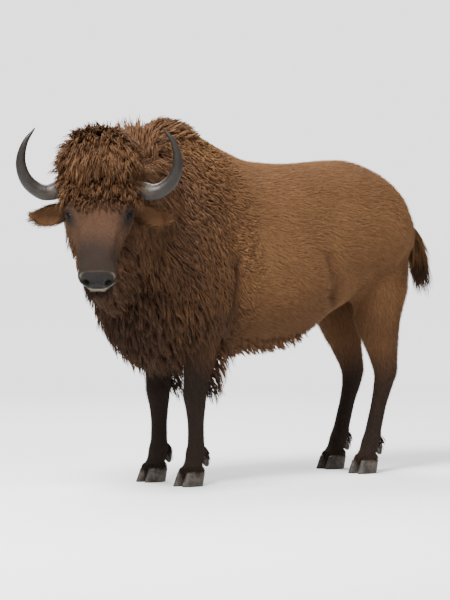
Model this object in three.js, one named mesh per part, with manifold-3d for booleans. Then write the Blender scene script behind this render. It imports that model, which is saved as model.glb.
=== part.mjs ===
// A life-size European bison bull, standing with its head turned to its left.
// Millimetres. The animal faces -X, its left side is -Y, and +Z is up; the floor is z = 0.
// The flesh and the long hair are modelled whole, then parted into nodes by thin cuts.
import * as THREE from "three";
import { mergeVertices } from "three/addons/utils/BufferGeometryUtils.js";
import Module from "manifold-3d";

const wasm = await Module();
wasm.setup();

// ---------------------------------------------------------------- driving dimensions
const GAP = 0.3; // left between touching nodes
const SIDES = { left: -1, right: 1 }; // the sign of y on each side

const WITHERS = 1770; // height of the hump
const CROUP = 1605; // height of the hips
const CHEST_X = -760; // front of the chest
const RUMP_X = 1150; // back of the buttocks
const BRISKET = 612; // lowest point of the trunk
const BARREL_HALF = 385; // half the width of the belly

const FOREFOOT = { left: { x: -365, y: -165 }, right: { x: -325, y: 160 } };
const HINDFOOT = { left: { x: 800, y: -165 }, right: { x: 890, y: 165 } };
const SHOULDER_X = -330; // the tops of the legs
const HIP_X = 915;
const ELBOW = 735; // where the forelegs leave the trunk
const KNEE = 435;
const STIFLE = 800; // where the hind legs leave the trunk
const HOCK = 505;
const CORONET = 72; // top of the hooves

const HEAD_AT = v3(-1051, -270, 1455); // middle of the back of the skull
const HEAD_LENGTH = 600;
const HEAD_TURN = 48; // degrees to the left of straight ahead
const HEAD_PITCH = 51; // degrees the face points below level
const POLL = -60; // the back of the skull, along the head
const EYE_R = 22;
const HORN_R = 46;
const HORN_REACH = 247; // how far a horn stands out from its root
const HORN_RISE = 246;
const EAR_LENGTH = 225;

// ---------------------------------------------------------------- shape tools
const UP = v3(0, 0, 1);
const ROUND = { squareTop: 2, squareBottom: 2 };

function v3(x, y, z) {
  return new THREE.Vector3(x, y, z);
}

const mix = (a, b, t) => a + (b - a) * t;

// A smooth curve through [place, value] keys that doesn't overshoot them.
function through(keys) {
  const n = keys.length;
  const rise = keys.slice(1).map((k, i) => (k[1] - keys[i][1]) / (k[0] - keys[i][0]));
  const slope = keys.map((_, i) => {
    if (i === 0) return rise[0];
    if (i === n - 1) return rise[n - 2];
    const product = rise[i - 1] * rise[i];
    return product <= 0 ? 0 : (2 * product) / (rise[i - 1] + rise[i]);
  });
  return (x) => {
    if (x <= keys[0][0]) return keys[0][1];
    if (x >= keys[n - 1][0]) return keys[n - 1][1];
    const i = keys.findIndex((k) => k[0] > x) - 1;
    const h = keys[i + 1][0] - keys[i][0];
    const t = (x - keys[i][0]) / h;
    const t2 = t * t;
    const t3 = t2 * t;
    return (
      (2 * t3 - 3 * t2 + 1) * keys[i][1] +
      (t3 - 2 * t2 + t) * h * slope[i] +
      (3 * t2 - 2 * t3) * keys[i + 1][1] +
      (t3 - t2) * h * slope[i + 1]
    );
  };
}

// A closed geometry from rings of points that turn from up to left, taken in the order of travel.
function closedRings(rings) {
  const around = rings[0].length;
  const points = rings.flat();
  const faces = [];
  for (let i = 0; i < rings.length - 1; i++)
    for (let j = 0; j < around; j++) {
      const a = i * around + j;
      const d = i * around + ((j + 1) % around);
      faces.push(a, a + around, d + around, a, d + around, d);
    }
  const end = (ring, i, flip) => {
    const centre = v3(0, 0, 0);
    ring.forEach((p) => centre.addScaledVector(p, 1 / around));
    points.push(centre);
    for (let j = 0; j < around; j++) {
      const a = i * around + j;
      const b = i * around + ((j + 1) % around);
      if (flip) faces.push(points.length - 1, b, a);
      else faces.push(points.length - 1, a, b);
    }
  };
  end(rings[0], 0, false);
  end(rings[rings.length - 1], rings.length - 1, true);
  return new THREE.BufferGeometry().setFromPoints(points).setIndex(faces);
}

// A tube whose station(t) gives its centre, its way along, its up, how far it reaches up, down and
// to each side, and how square its upper and lower halves are: 2 is an ellipse, less is sharper.
// Each swell pushes the surface near its place by its push, fading over its reach.
class Tube {
  constructor(station, swells = []) {
    this.station = station;
    this.swells = swells;
  }
  point(t, angle) {
    const s = this.station(t);
    const left = s.up.clone().cross(s.along).normalize();
    const c = Math.cos(angle);
    const d = Math.sin(angle);
    const power = 2 / (c >= 0 ? s.squareTop : s.squareBottom);
    const up = Math.sign(c) * Math.abs(c) ** power * (c >= 0 ? s.top : s.bottom);
    const out = Math.sign(d) * Math.abs(d) ** power * s.half;
    const bare = s.at.clone().addScaledVector(s.up, up).addScaledVector(left, out);
    return this.swells.reduce((p, swell) => {
      const off = bare.clone().sub(swell.at).divide(swell.reach);
      return p.addScaledVector(swell.push, Math.exp(-off.lengthSq()));
    }, bare.clone());
  }
  rings(steps, around) {
    return Array.from({ length: steps + 1 }, (_, i) =>
      Array.from({ length: around }, (_, j) => this.point(i / steps, (2 * Math.PI * j) / around)),
    );
  }
  solid(steps, around) {
    return solidOf(closedRings(this.rings(steps, around)));
  }
}

// How far a round station reaches.
const circle = (r) => ({ top: r, bottom: r, half: r, ...ROUND });

// A closed geometry as a solid.
function solidOf(geometry) {
  const bare = geometry.clone();
  bare.deleteAttribute("normal");
  bare.deleteAttribute("uv");
  const merged = mergeVertices(bare, 1e-3);
  return new wasm.Manifold(
    new wasm.Mesh({
      numProp: 3,
      vertProperties: new Float32Array(merged.attributes.position.array),
      triVerts: new Uint32Array(merged.index.array),
    }),
  );
}

// A solid as a geometry.
function geometryOf(solid) {
  const mesh = solid.getMesh();
  const flat = new Float32Array(mesh.numVert * 3);
  for (let i = 0; i < mesh.numVert; i++)
    for (let k = 0; k < 3; k++) flat[i * 3 + k] = mesh.vertProperties[i * mesh.numProp + k];
  return new THREE.BufferGeometry()
    .setAttribute("position", new THREE.BufferAttribute(flat, 3))
    .setIndex(new THREE.BufferAttribute(new Uint32Array(mesh.triVerts), 1));
}

const join = (...solids) => solids.flat().reduce((a, b) => a.add(b));

// The largest closed surface of a solid.
const largest = (solid) => solid.decompose().reduce((a, b) => (b.volume() > a.volume() ? b : a));

// A solid grown by the gap along its vertices' normals.
function grown(solid) {
  const geometry = geometryOf(solid);
  geometry.computeVertexNormals();
  const p = geometry.attributes.position;
  const n = geometry.attributes.normal;
  for (let i = 0; i < p.count; i++)
    p.setXYZ(i, p.getX(i) + n.getX(i) * GAP, p.getY(i) + n.getY(i) * GAP, p.getZ(i) + n.getZ(i) * GAP);
  return solidOf(geometry);
}

const clearOf = (solid, ...others) => others.reduce((a, b) => a.subtract(grown(b)), solid);

// An ellipsoid turned by degrees about x, y and z.
function egg(at, radii, turn = [0, 0, 0], detail = [12, 8]) {
  const shape = new THREE.SphereGeometry(1, ...detail);
  const turned = new THREE.Euler(...turn.map(THREE.MathUtils.degToRad));
  shape.applyMatrix4(
    new THREE.Matrix4().compose(at, new THREE.Quaternion().setFromEuler(turned), v3(...radii)),
  );
  return solidOf(shape);
}

const FAR = 6000;

// The half of space behind a plane.
function behind(plane, offset) {
  const box = new THREE.BoxGeometry(FAR, FAR, FAR);
  box.translate(0, 0, offset - FAR / 2);
  const turn = new THREE.Quaternion().setFromUnitVectors(UP, plane.normal.clone().normalize());
  box.applyMatrix4(new THREE.Matrix4().compose(plane.at, turn, v3(1, 1, 1)));
  return solidOf(box);
}

const keepBehind = (solid, plane) => solid.intersect(behind(plane, -GAP / 2));
const keepAhead = (solid, plane) => solid.subtract(behind(plane, GAP / 2));

// ---------------------------------------------------------------- trunk
const TRUNK_TOP = through([
  [CHEST_X, 1330],
  [-680, 1570],
  [-570, 1715],
  [-420, WITHERS],
  [-270, 1730],
  [-80, 1654],
  [110, 1596],
  [330, 1583],
  [740, CROUP],
  [920, 1562],
  [1050, 1470],
  [1120, 1350],
  [RUMP_X, 1230],
]);
const TRUNK_UNDER = through([
  [CHEST_X, 900],
  [-700, 745],
  [-610, 655],
  [-490, BRISKET],
  [-350, 620],
  [-100, 634],
  [180, 646],
  [370, 678],
  [520, 765],
  [720, 850],
  [930, 930],
  [1080, 1020],
  [RUMP_X, 1120],
]);
const TRUNK_HALF = through([
  [CHEST_X, 110],
  [-705, 205],
  [-620, 262],
  [-460, 308],
  [-280, 335],
  [0, 368],
  [200, BARREL_HALF],
  [400, 372],
  [620, 338],
  [850, 305],
  [1010, 258],
  [1100, 190],
  [RUMP_X, 85],
]);
// Where the trunk is widest, as a share of its height.
const TRUNK_WIDEST = through([
  [CHEST_X, 0.45],
  [-400, 0.4],
  [200, 0.42],
  [RUMP_X, 0.55],
]);
// How square the back is: sharp over the hump, broad over the hips.
const TRUNK_RIDGE = through([
  [CHEST_X, 1.8],
  [-430, 1.55],
  [0, 1.75],
  [400, 1.95],
  [RUMP_X, 2.1],
]);

// The muscle over each shoulder blade and each thigh.
const MUSCLES = Object.values(SIDES).flatMap((side) => [
  { at: v3(-420, side * 290, 1290), reach: v3(190, 220, 330), push: v3(0, side * 36, 0) },
  { at: v3(945, side * 290, 1160), reach: v3(190, 220, 270), push: v3(12, side * 46, 0) },
]);

const trunk = new Tube((t) => {
  const x = mix(RUMP_X, CHEST_X, t);
  const top = TRUNK_TOP(x);
  const under = TRUNK_UNDER(x);
  const middle = mix(under, top, TRUNK_WIDEST(x));
  return {
    at: v3(x, 0, middle),
    along: v3(-1, 0, 0),
    up: UP,
    top: top - middle,
    bottom: middle - under,
    half: TRUNK_HALF(x),
    squareTop: TRUNK_RIDGE(x),
    squareBottom: 2,
  };
}, MUSCLES);

// ---------------------------------------------------------------- neck
const NECK_LINE = new THREE.CatmullRomCurve3([
  v3(-450, 0, 1300),
  v3(-670, -10, 1320),
  v3(-830, -85, 1360),
  v3(-950, -180, 1405),
  v3(-1040, -259, 1440),
]);
const NECK_TOP = through([
  [0, 430],
  [0.3, 375],
  [0.6, 255],
  [0.8, 185],
  [1, 120],
]);
const NECK_BOTTOM = through([
  [0, 430],
  [0.3, 465],
  [0.6, 400],
  [0.8, 310],
  [1, 200],
]);
const NECK_HALF = through([
  [0, 240],
  [0.35, 225],
  [0.7, 185],
  [1, 140],
]);

const neck = new Tube((t) => {
  const along = NECK_LINE.getTangentAt(t);
  const left = UP.clone().cross(along).normalize();
  return {
    at: NECK_LINE.getPointAt(t),
    along,
    up: along.clone().cross(left),
    top: NECK_TOP(t),
    bottom: NECK_BOTTOM(t),
    half: NECK_HALF(t),
    squareTop: 1.75,
    squareBottom: 1.65,
  };
});

// ---------------------------------------------------------------- head
// The head's own axes: x towards the muzzle, y to its left, z out of the forehead.
const YAW = THREE.MathUtils.degToRad(HEAD_TURN);
const PITCH = THREE.MathUtils.degToRad(HEAD_PITCH);
const HEADING = v3(-Math.cos(YAW), -Math.sin(YAW), 0);
const LEFTWARD = v3(Math.sin(YAW), -Math.cos(YAW), 0);
const HEAD_FRAME = (() => {
  const x = HEADING.clone().multiplyScalar(Math.cos(PITCH)).addScaledVector(UP, -Math.sin(PITCH));
  return new THREE.Matrix4().makeBasis(x, LEFTWARD, x.clone().cross(LEFTWARD)).setPosition(HEAD_AT);
})();
const onHead = (solid) => solid.transform([...HEAD_FRAME.elements]);
const fromHead = (x, y, z) => v3(x, y, z).applyMatrix4(HEAD_FRAME);

// A place given from a root on the head, out to its side, up, and ahead of the face.
const beside = (root, side, out, up, ahead) =>
  root
    .clone()
    .addScaledVector(LEFTWARD, -side * out)
    .addScaledVector(HEADING, ahead)
    .addScaledVector(UP, up);

const SKULL_TOP = through([
  [POLL, 85],
  [0, 118],
  [70, 132],
  [160, 126],
  [240, 108],
  [330, 88],
  [430, 76],
  [520, 70],
  [565, 60],
  [HEAD_LENGTH, 22],
]);
const SKULL_BOTTOM = through([
  [POLL, 110],
  [0, 130],
  [120, 128],
  [240, 105],
  [350, 80],
  [450, 64],
  [540, 52],
  [HEAD_LENGTH, 26],
]);
const SKULL_HALF = through([
  [POLL, 115],
  [0, 145],
  [80, 160],
  [170, 157],
  [235, 147],
  [310, 124],
  [400, 100],
  [470, 90],
  [530, 92],
  [572, 84],
  [HEAD_LENGTH, 50],
]);

// The rim over each eye, each cheek's muscle and each nostril's wing.
const FEATURES = Object.values(SIDES).flatMap((side) => [
  { at: v3(212, -side * 141, 72), reach: v3(62, 60, 46), push: v3(0, -side * 16, 9) },
  { at: v3(140, -side * 136, -58), reach: v3(110, 70, 64), push: v3(0, -side * 12, -8) },
  { at: v3(556, -side * 77, 22), reach: v3(44, 34, 34), push: v3(0, -side * 8, 9) },
]);

const level = (at) => ({ at, along: v3(1, 0, 0), up: UP });

// The skull, or the skull less a skin of the given thickness and set back by it.
const skullTube = (skin) =>
  new Tube((t) => {
    const x = mix(POLL, HEAD_LENGTH, t);
    return {
      ...level(v3(x - skin, 0, 0)),
      top: SKULL_TOP(x),
      bottom: SKULL_BOTTOM(x),
      half: SKULL_HALF(x) - skin,
      squareTop: 2.4,
      squareBottom: 2.2,
    };
  }, FEATURES);
const skull = skullTube(0);

// The lower jaw, from under the ears to the chin.
const JAW_BACK = 70;
const CHIN = HEAD_LENGTH - 22;
const JAW_HALF = through([
  [0, 70],
  [0.15, 116],
  [0.4, 94],
  [0.7, 68],
  [0.88, 68],
  [1, 42],
]);
const JAW_DEPTH = through([
  [0, 60],
  [0.2, 78],
  [0.5, 56],
  [0.85, 42],
  [1, 24],
]);
const jaw = new Tube((t) => ({
  ...level(v3(mix(JAW_BACK, CHIN, t), 0, mix(-100, -46, t))),
  top: 50,
  bottom: JAW_DEPTH(t),
  half: JAW_HALF(t),
  ...ROUND,
}));

const SKULL_DETAIL = [14, 20];
const EYE_DETAIL = [10, 6];
const EYE_AT = (side) => v3(232, -side * 131, 58);
const EYE_OUT = (side) => v3(0.3, -side * 0.85, 0.42).normalize();

function headFlesh() {
  const lids = Object.values(SIDES).map((side) =>
    egg(EYE_AT(side), [38, 29, 28], [0, 10, 0], EYE_DETAIL),
  );
  return join(skull.solid(...SKULL_DETAIL), jaw.solid(8, 12), lids);
}

const LIP_SKIN = 9; // how deep the line of the mouth is
const LIP_Z = -36;

// The head's fine cuts: an opening between the lids, nostrils, and the line of the mouth.
function carveHead(flesh) {
  const cuts = Object.values(SIDES).flatMap((side) => [
    egg(EYE_AT(side).addScaledVector(EYE_OUT(side), 22), [22, 20, 12], [0, 14, -side * 16], EYE_DETAIL),
    egg(EYE_AT(side), Array(3).fill(EYE_R + 2 * GAP), [0, 0, 0], EYE_DETAIL),
    egg(v3(588, -side * 54, 22), [30, 12, 15], [0, 30, side * 30], [10, 6]),
  ]);
  const mouth = new THREE.BoxGeometry(150, 220, 5).rotateY(-0.06).translate(HEAD_LENGTH - 62, 0, LIP_Z);
  const inside = skullTube(LIP_SKIN).solid(...SKULL_DETAIL);
  return cuts.reduce((a, b) => a.subtract(b), flesh).subtract(solidOf(mouth).subtract(inside));
}

const eye = (side) => onHead(egg(EYE_AT(side), Array(3).fill(EYE_R), [0, 0, 0], EYE_DETAIL));

// A horn that leaves the skull sideways, then sweeps up and in, with low rings near its root.
const HORN_THICKNESS = through([
  [0, HORN_R],
  [0.25, HORN_R * 0.9],
  [0.6, HORN_R * 0.62],
  [0.88, HORN_R * 0.27],
  [1, 5],
]);
function horn(side) {
  const root = fromHead(42, -side * 118, 84);
  const line = new THREE.CatmullRomCurve3(
    [
      [-30, 8, 0],
      [60, -34, -4],
      [140, -52, 8],
      [HORN_REACH - 32, -4, 26],
      [HORN_REACH, 84, 44],
      [HORN_REACH - 20, 178, 56],
      [HORN_REACH - 66, HORN_RISE, 52],
    ].map(([out, up, ahead]) => beside(root, side, out, up, ahead)),
  );
  return new Tube((t) => {
    const along = line.getTangentAt(t);
    const left = HEADING.clone().cross(along).normalize();
    const ringed = t < 0.45 ? 1 + 0.025 * Math.cos(t * 60) : 1;
    return {
      at: line.getPointAt(t),
      along,
      up: along.clone().cross(left),
      ...circle(HORN_THICKNESS(t) * ringed),
    };
  }).solid(14, 9);
}

// A cupped leaf that opens ahead of the face.
const EAR_WIDTH = through([
  [0, 24],
  [0.2, 34],
  [0.45, 50],
  [0.7, 42],
  [0.9, 20],
  [1, 3],
]);
const EAR_RIM = 7;
function ear(side) {
  const root = fromHead(118, -side * 128, -34);
  const line = new THREE.CatmullRomCurve3([
    beside(root, side, -20, 6, 0),
    beside(root, side, EAR_LENGTH * 0.3, -16, 8),
    beside(root, side, EAR_LENGTH * 0.62, -34, 0),
    beside(root, side, EAR_LENGTH * 0.93, -24, -20),
  ]);
  const leaf = (rim, ahead, from, to, thick) =>
    new Tube((t) => {
      const at = mix(from, to, t);
      const along = line.getTangentAt(at);
      const up = HEADING.clone().addScaledVector(along, -HEADING.dot(along)).normalize();
      const depth = thick * Math.min(1, EAR_WIDTH(at) / 30);
      return {
        at: line.getPointAt(at).addScaledVector(up, ahead),
        along,
        up,
        top: depth,
        bottom: depth,
        half: Math.max(EAR_WIDTH(at) - rim, 2),
        ...ROUND,
      };
    });
  const cup = leaf(EAR_RIM, 17, 0.2, 0.94, 30);
  return leaf(0, 0, 0, 1, 24).solid(7, 10).subtract(cup.solid(6, 8));
}

// ---------------------------------------------------------------- legs
// A leg is a stack of level rings: [height, x from the foot, half length, half width].
const FORELEG = [
  [980, 20, 135, 102],
  [840, 32, 132, 98],
  [ELBOW, 34, 120, 88],
  [620, 22, 95, 74],
  [520, 10, 77, 63],
  [KNEE, 0, 66, 58],
  [370, 4, 54, 51],
  [280, 6, 46, 44],
  [205, 6, 48, 45],
  [160, 4, 58, 53],
  [120, -10, 50, 50],
  [CORONET, -26, 58, 61],
  [CORONET - 20, -30, 58, 61],
];
const HINDLEG = [
  [1150, 108, 160, 92],
  [1060, 92, 186, 106],
  [960, 78, 192, 112],
  [860, 74, 172, 102],
  [STIFLE, 70, 158, 96],
  [690, 92, 126, 80],
  [590, 122, 94, 64],
  [HOCK, 140, 74, 54],
  [440, 124, 60, 48],
  [330, 88, 49, 43],
  [220, 54, 49, 45],
  [165, 38, 58, 52],
  [122, 16, 50, 50],
  [CORONET, -4, 58, 60],
  [CORONET - 20, -8, 58, 60],
];

// The leg over a foot, leaning to a joint at topX and spreading by the given share as it rises.
function legTube(foot, topX, stations, spread) {
  const column = (k) => through(stations.map((s) => [s[0], s[k]]).reverse());
  const [x, length, width] = [1, 2, 3].map(column);
  const [high, highX] = stations[0];
  const y = through([
    [CORONET, foot.y],
    [400, foot.y * 0.98],
    [900, foot.y * spread],
  ]);
  const lean = through([
    [KNEE, 0],
    [high, topX - foot.x - highX],
  ]);
  return new Tube((t) => {
    const z = mix(high, CORONET - 20, t);
    return {
      at: v3(foot.x + x(z) + lean(z), y(z), z),
      along: v3(0, 0, -1),
      up: v3(-1, 0, 0),
      top: length(z),
      bottom: length(z),
      half: width(z),
      ...ROUND,
    };
  });
}

const levelAt = (z) => ({ at: v3(0, 0, z), normal: UP });

// Two claws on each foot, with flat soles on the floor, and two dewclaws behind the fetlock.
const CLAW = { spread: 33, half: 29, lean: -20, top: 54, toe: 68, heel: 60 };
function claw(foot, toeX, side) {
  return new Tube((t) => ({
    at: v3(foot.x + toeX + CLAW.lean * t, foot.y + side * CLAW.spread, mix(CORONET - GAP, 0, t)),
    along: v3(0, 0, -1),
    up: v3(-1, 0, 0),
    top: mix(CLAW.top, CLAW.toe, t),
    bottom: mix(CLAW.top, CLAW.heel, t),
    half: CLAW.half + mix(-1, 1, t),
    squareTop: 1.8,
    squareBottom: 2.6,
  })).solid(2, 12);
}

const DEWCLAW = { behind: 72, spread: 25, height: 116, radii: [18, 14, 27] };
function dewclaw(foot, toeX, side, leg) {
  const at = v3(foot.x + toeX + DEWCLAW.behind, foot.y + side * DEWCLAW.spread, DEWCLAW.height);
  return clearOf(egg(at, DEWCLAW.radii, [0, -30, 0], [6, 5]), leg);
}

// ---------------------------------------------------------------- tail
const TAIL_LINE = new THREE.CatmullRomCurve3([
  v3(1060, 0, 1450),
  v3(1130, -15, 1405),
  v3(1182, -60, 1310),
  v3(1202, -116, 1195),
  v3(1204, -152, 1090),
]);

const dock = new Tube((t) => {
  const along = TAIL_LINE.getTangentAt(t);
  return {
    at: TAIL_LINE.getPointAt(t),
    along,
    up: along.clone().cross(v3(0, -1, 0)).normalize(),
    ...circle(mix(42, 19, t ** 0.6)),
  };
});

// ---------------------------------------------------------------- long hair
const ROOT_SINK = 24; // how far a lock's root runs into the flesh
const LOCK_RINGS = 3;
const FLATNESS = 0.32; // a lock's thickness over its width
const LOCK_WIDTH = through([
  [0, 0.66],
  [0.4, 1],
  [0.72, 0.78],
  [1, 0.12],
]);

// A repeatable source of values between -1 and 1.
function variation(seed) {
  let state = seed;
  return () => {
    state = (Math.imul(state, 1664525) + 1013904223) >>> 0;
    return state / 2 ** 31 - 1;
  };
}

// A flat, tapered lock: its root is sunk in the flesh, it lifts and then bends over to its lie.
function lock(root, out, lie, { length, width, lift, curl }) {
  const flat = lie.clone().cross(out).normalize();
  const line = new THREE.CatmullRomCurve3(
    [
      [-ROOT_SINK, 0, 0],
      [length * lift * 0.8, length * 0.2, 0],
      [length * lift, length * 0.62, curl * length * 0.5],
      [length * lift * 0.6, length, curl * length * 0.2],
    ].map(([up, along, aside]) =>
      root
        .clone()
        .addScaledVector(out, up)
        .addScaledVector(lie, along)
        .addScaledVector(flat, aside),
    ),
  );
  return new Tube((t) => {
    const along = line.getTangentAt(t);
    const half = (LOCK_WIDTH(t) * width) / 2;
    return {
      at: line.getPointAt(t),
      along,
      up: along.clone().cross(flat).normalize(),
      top: half * FLATNESS,
      bottom: half * FLATNESS,
      half,
      ...ROUND,
    };
  }).solid(LOCK_RINGS, 4);
}

// The place and the way out of a tube's surface.
function surfaceOf(tube, t, angle, frame) {
  const at = tube.point(t, angle);
  const ahead = tube.point(t + 0.01, angle).sub(at);
  const around = tube.point(t, angle + 0.05).sub(at);
  const out = ahead.cross(around).normalize();
  return frame ? { at: at.applyMatrix4(frame), out: out.transformDirection(frame) } : { at, out };
}

// Locks in staggered rows over a patch of a tube. The patch runs over along[0]..along[1] of the tube
// and over the angles in degrees around it; 0 is its top, 90 its left, 180 its underside.
// lie(out, t) is the way the hair grows, kept from pointing into the flesh by the outward share.
function patch(options) {
  const { tube, frame, along, around, rows, columns, length, width, lie, seed } = options;
  const { lift = 0.12, outward = 0.2, ragged = 0.12 } = options;
  const vary = variation(seed);
  const locks = [];
  for (let row = 0; row < rows; row++)
    for (let column = 0; column < columns; column++) {
      const stagger = row % 2 ? 0.25 : -0.25;
      const t = mix(...along, (row + 0.5 + vary() * 0.25) / rows);
      const turned = mix(...around, (column + 0.5 + stagger + vary() * 0.2) / columns);
      const { at, out } = surfaceOf(tube, t, THREE.MathUtils.degToRad(turned), frame);
      const way = lie(out, (t - along[0]) / (along[1] - along[0])).normalize();
      way.add(v3(vary(), vary(), vary()).multiplyScalar(ragged)).normalize();
      way.addScaledVector(out, Math.max(0, outward - way.dot(out))).normalize();
      const size = {
        length: length * (1 + vary() * 0.22),
        width: width * (1 + vary() * 0.15),
        curl: vary() * 0.35,
      };
      locks.push(lock(at, out, way, { ...size, lift }));
    }
  return locks;
}

// A patch and its mirror image on the other flank.
const bothSides = (options) => [
  ...patch(options),
  ...patch({ ...options, around: options.around.map((a) => -a), seed: options.seed + 1 }),
];

const alongTrunk = (x) => (RUMP_X - x) / (RUMP_X - CHEST_X);
const towards = (x, y, z) => () => v3(x, y, z);

// The bush of hair on the crown stands on a rounded core, whose own axes are ahead, left and up.
const CROWN = { ahead: 92, side: 142, up: 112, rise: 54 };
const CROWN_FRAME = new THREE.Matrix4()
  .makeBasis(HEADING, LEFTWARD, UP)
  .setPosition(fromHead(-12, 0, 92).addScaledVector(UP, CROWN.rise));
const crownCore = new Tube((t) => {
  const round = Math.sqrt(Math.max(1 - (2 * t - 1) ** 2, 0.01));
  return {
    ...level(v3(CROWN.ahead * (2 * t - 1), 0, 0)),
    top: CROWN.up * round,
    bottom: CROWN.up * round,
    half: CROWN.side * round,
    ...ROUND,
  };
});

const crown = () => [
  crownCore.solid(8, 12).transform([...CROWN_FRAME.elements]),
  ...patch({
    tube: crownCore,
    frame: CROWN_FRAME,
    along: [0.05, 0.97],
    around: [-108, 108],
    rows: 4,
    columns: 5,
    length: 138,
    width: 104,
    lie: (out, t) =>
      out
        .clone()
        .multiplyScalar(mix(0.9, 0.4, t))
        .addScaledVector(UP, mix(-0.1, -1, t))
        .addScaledVector(HEADING, mix(-0.2, 0.4, t)),
    lift: 0.24,
    seed: 11,
    ragged: 0.16,
  }),
];

const beard = () =>
  patch({
    tube: jaw,
    frame: HEAD_FRAME,
    along: [0.2, 0.88],
    around: [132, 228],
    rows: 4,
    columns: 3,
    length: 130,
    width: 64,
    lie: towards(0.12, 0.1, -1),
    seed: 23,
  });

const throat = () =>
  patch({
    tube: neck,
    along: [0.42, 1],
    around: [128, 232],
    rows: 4,
    columns: 4,
    length: 104,
    width: 92,
    lie: towards(0.12, 0.05, -1),
    seed: 37,
  });

const brisket = () =>
  patch({
    tube: trunk,
    along: [alongTrunk(-590), alongTrunk(-750)],
    around: [115, 245],
    rows: 3,
    columns: 3,
    length: 104,
    width: 112,
    lie: towards(0, 0, -1),
    seed: 41,
  });

const crest = () => [
  ...patch({
    tube: neck,
    along: [0.35, 1],
    around: [-34, 34],
    rows: 3,
    columns: 3,
    length: 150,
    width: 96,
    lie: towards(0.8, 0.35, 0),
    lift: 0.16,
    seed: 53,
  }),
  ...patch({
    tube: trunk,
    along: [alongTrunk(-330), alongTrunk(-655)],
    around: [-22, 22],
    rows: 4,
    columns: 2,
    length: 108,
    width: 90,
    lie: towards(1, 0, 0),
    lift: 0.08,
    seed: 61,
  }),
];

const neckSides = () =>
  bothSides({
    tube: neck,
    along: [0.3, 0.98],
    around: [36, 128],
    rows: 3,
    columns: 3,
    length: 205,
    width: 124,
    lie: towards(0.35, 0.1, -0.9),
    seed: 71,
  });

const cuff = (leg, seed) =>
  patch({
    tube: leg,
    along: [0.3, 0.52],
    around: [125, 235],
    rows: 3,
    columns: 2,
    length: 124,
    width: 60,
    lie: towards(0.5, 0, -1),
    lift: 0.18,
    seed,
  });

const tuft = () =>
  patch({
    tube: dock,
    along: [0.72, 0.97],
    around: [-180, 180],
    rows: 4,
    columns: 2,
    length: 200,
    width: 58,
    lie: towards(0, -0.12, -1),
    lift: 0.06,
    outward: 0.04,
    seed: 97,
    ragged: 0.06,
  });

// ---------------------------------------------------------------- the whole, parted
const NECK_CUT = { at: v3(-690, 0, 1250), normal: v3(-0.93, -0.05, 0.36) };
const HEAD_CUT = { at: fromHead(-18, 0, 0), normal: v3(-0.72, -0.64, -0.2) };
const FORE_CUT = { at: v3(-150, 0, 0), normal: v3(-1, 0, 0) };
const LOIN_CUT = { at: v3(380, 0, 0), normal: v3(-1, 0, 0) };
const DOCK_CUT = { at: TAIL_LINE.getPointAt(0.66), normal: TAIL_LINE.getTangentAt(0.66) };
const ELBOW_CUT = levelAt(ELBOW);
const STIFLE_CUT = levelAt(STIFLE);

const matter = (color, roughness) => new THREE.MeshStandardMaterial({ color, roughness, metalness: 0 });
const COAT = {
  body: matter(0x4a3222, 0.9),
  mane: matter(0x33221a, 0.95),
  dark: matter(0x241914, 0.9),
};
const HORN = matter(0x1d1a18, 0.45);
const HOOF = matter(0x211c19, 0.6);
const EYE = matter(0x120c09, 0.1);

const bison = new THREE.Group();
function add(name, solid, material) {
  const mesh = new THREE.Mesh(geometryOf(largest(solid)), material);
  mesh.name = name;
  bison.add(mesh);
}

const onEachSide = (make) =>
  Object.fromEntries(Object.entries(SIDES).map(([name, side]) => [name, make(side, name)]));

const forelegs = onEachSide((_, name) => legTube(FOREFOOT[name], SHOULDER_X, FORELEG, 1.15));
const hindlegs = onEachSide((_, name) => legTube(HINDFOOT[name], HIP_X, HINDLEG, 1.05));
const legSolid = (leg) => leg.solid(17, 12);

const skullFlesh = onHead(carveHead(headFlesh()));
const body = join(
  trunk.solid(25, 22),
  neck.solid(8, 18),
  Object.values(forelegs).map((leg) => keepAhead(legSolid(leg), ELBOW_CUT)),
  Object.values(hindlegs).map((leg) => keepAhead(legSolid(leg), STIFLE_CUT)),
);
const horns = onEachSide(horn);
const ears = onEachSide((side, name) => largest(clearOf(ear(side), skullFlesh, horns[name])));
const bare = Object.values(SIDES).map((side) => onHead(egg(EYE_AT(side), [60, 46, 44])));
const hair = join(crown(), beard(), throat(), brisket(), crest(), neckSides()).subtract(join(bare));
const furred = join(body, skullFlesh, hair);

const front = clearOf(keepAhead(furred, NECK_CUT), ...Object.values(ears));
const back = keepBehind(furred, NECK_CUT);
const rump = keepBehind(back, LOIN_CUT);
add("head", clearOf(keepAhead(front, HEAD_CUT), ...Object.values(horns)), COAT.dark);
add("neck", keepBehind(front, HEAD_CUT), COAT.mane);
add("chest", keepAhead(back, FORE_CUT), COAT.mane);
add("barrel", keepAhead(keepBehind(back, FORE_CUT), LOIN_CUT), COAT.body);
add("rump", rump, COAT.body);
for (const [name, side] of Object.entries(SIDES)) {
  add("horn_" + name, horns[name], HORN);
  add("ear_" + name, ears[name], COAT.dark);
  add("eye_" + name, eye(side), EYE);
}

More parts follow.
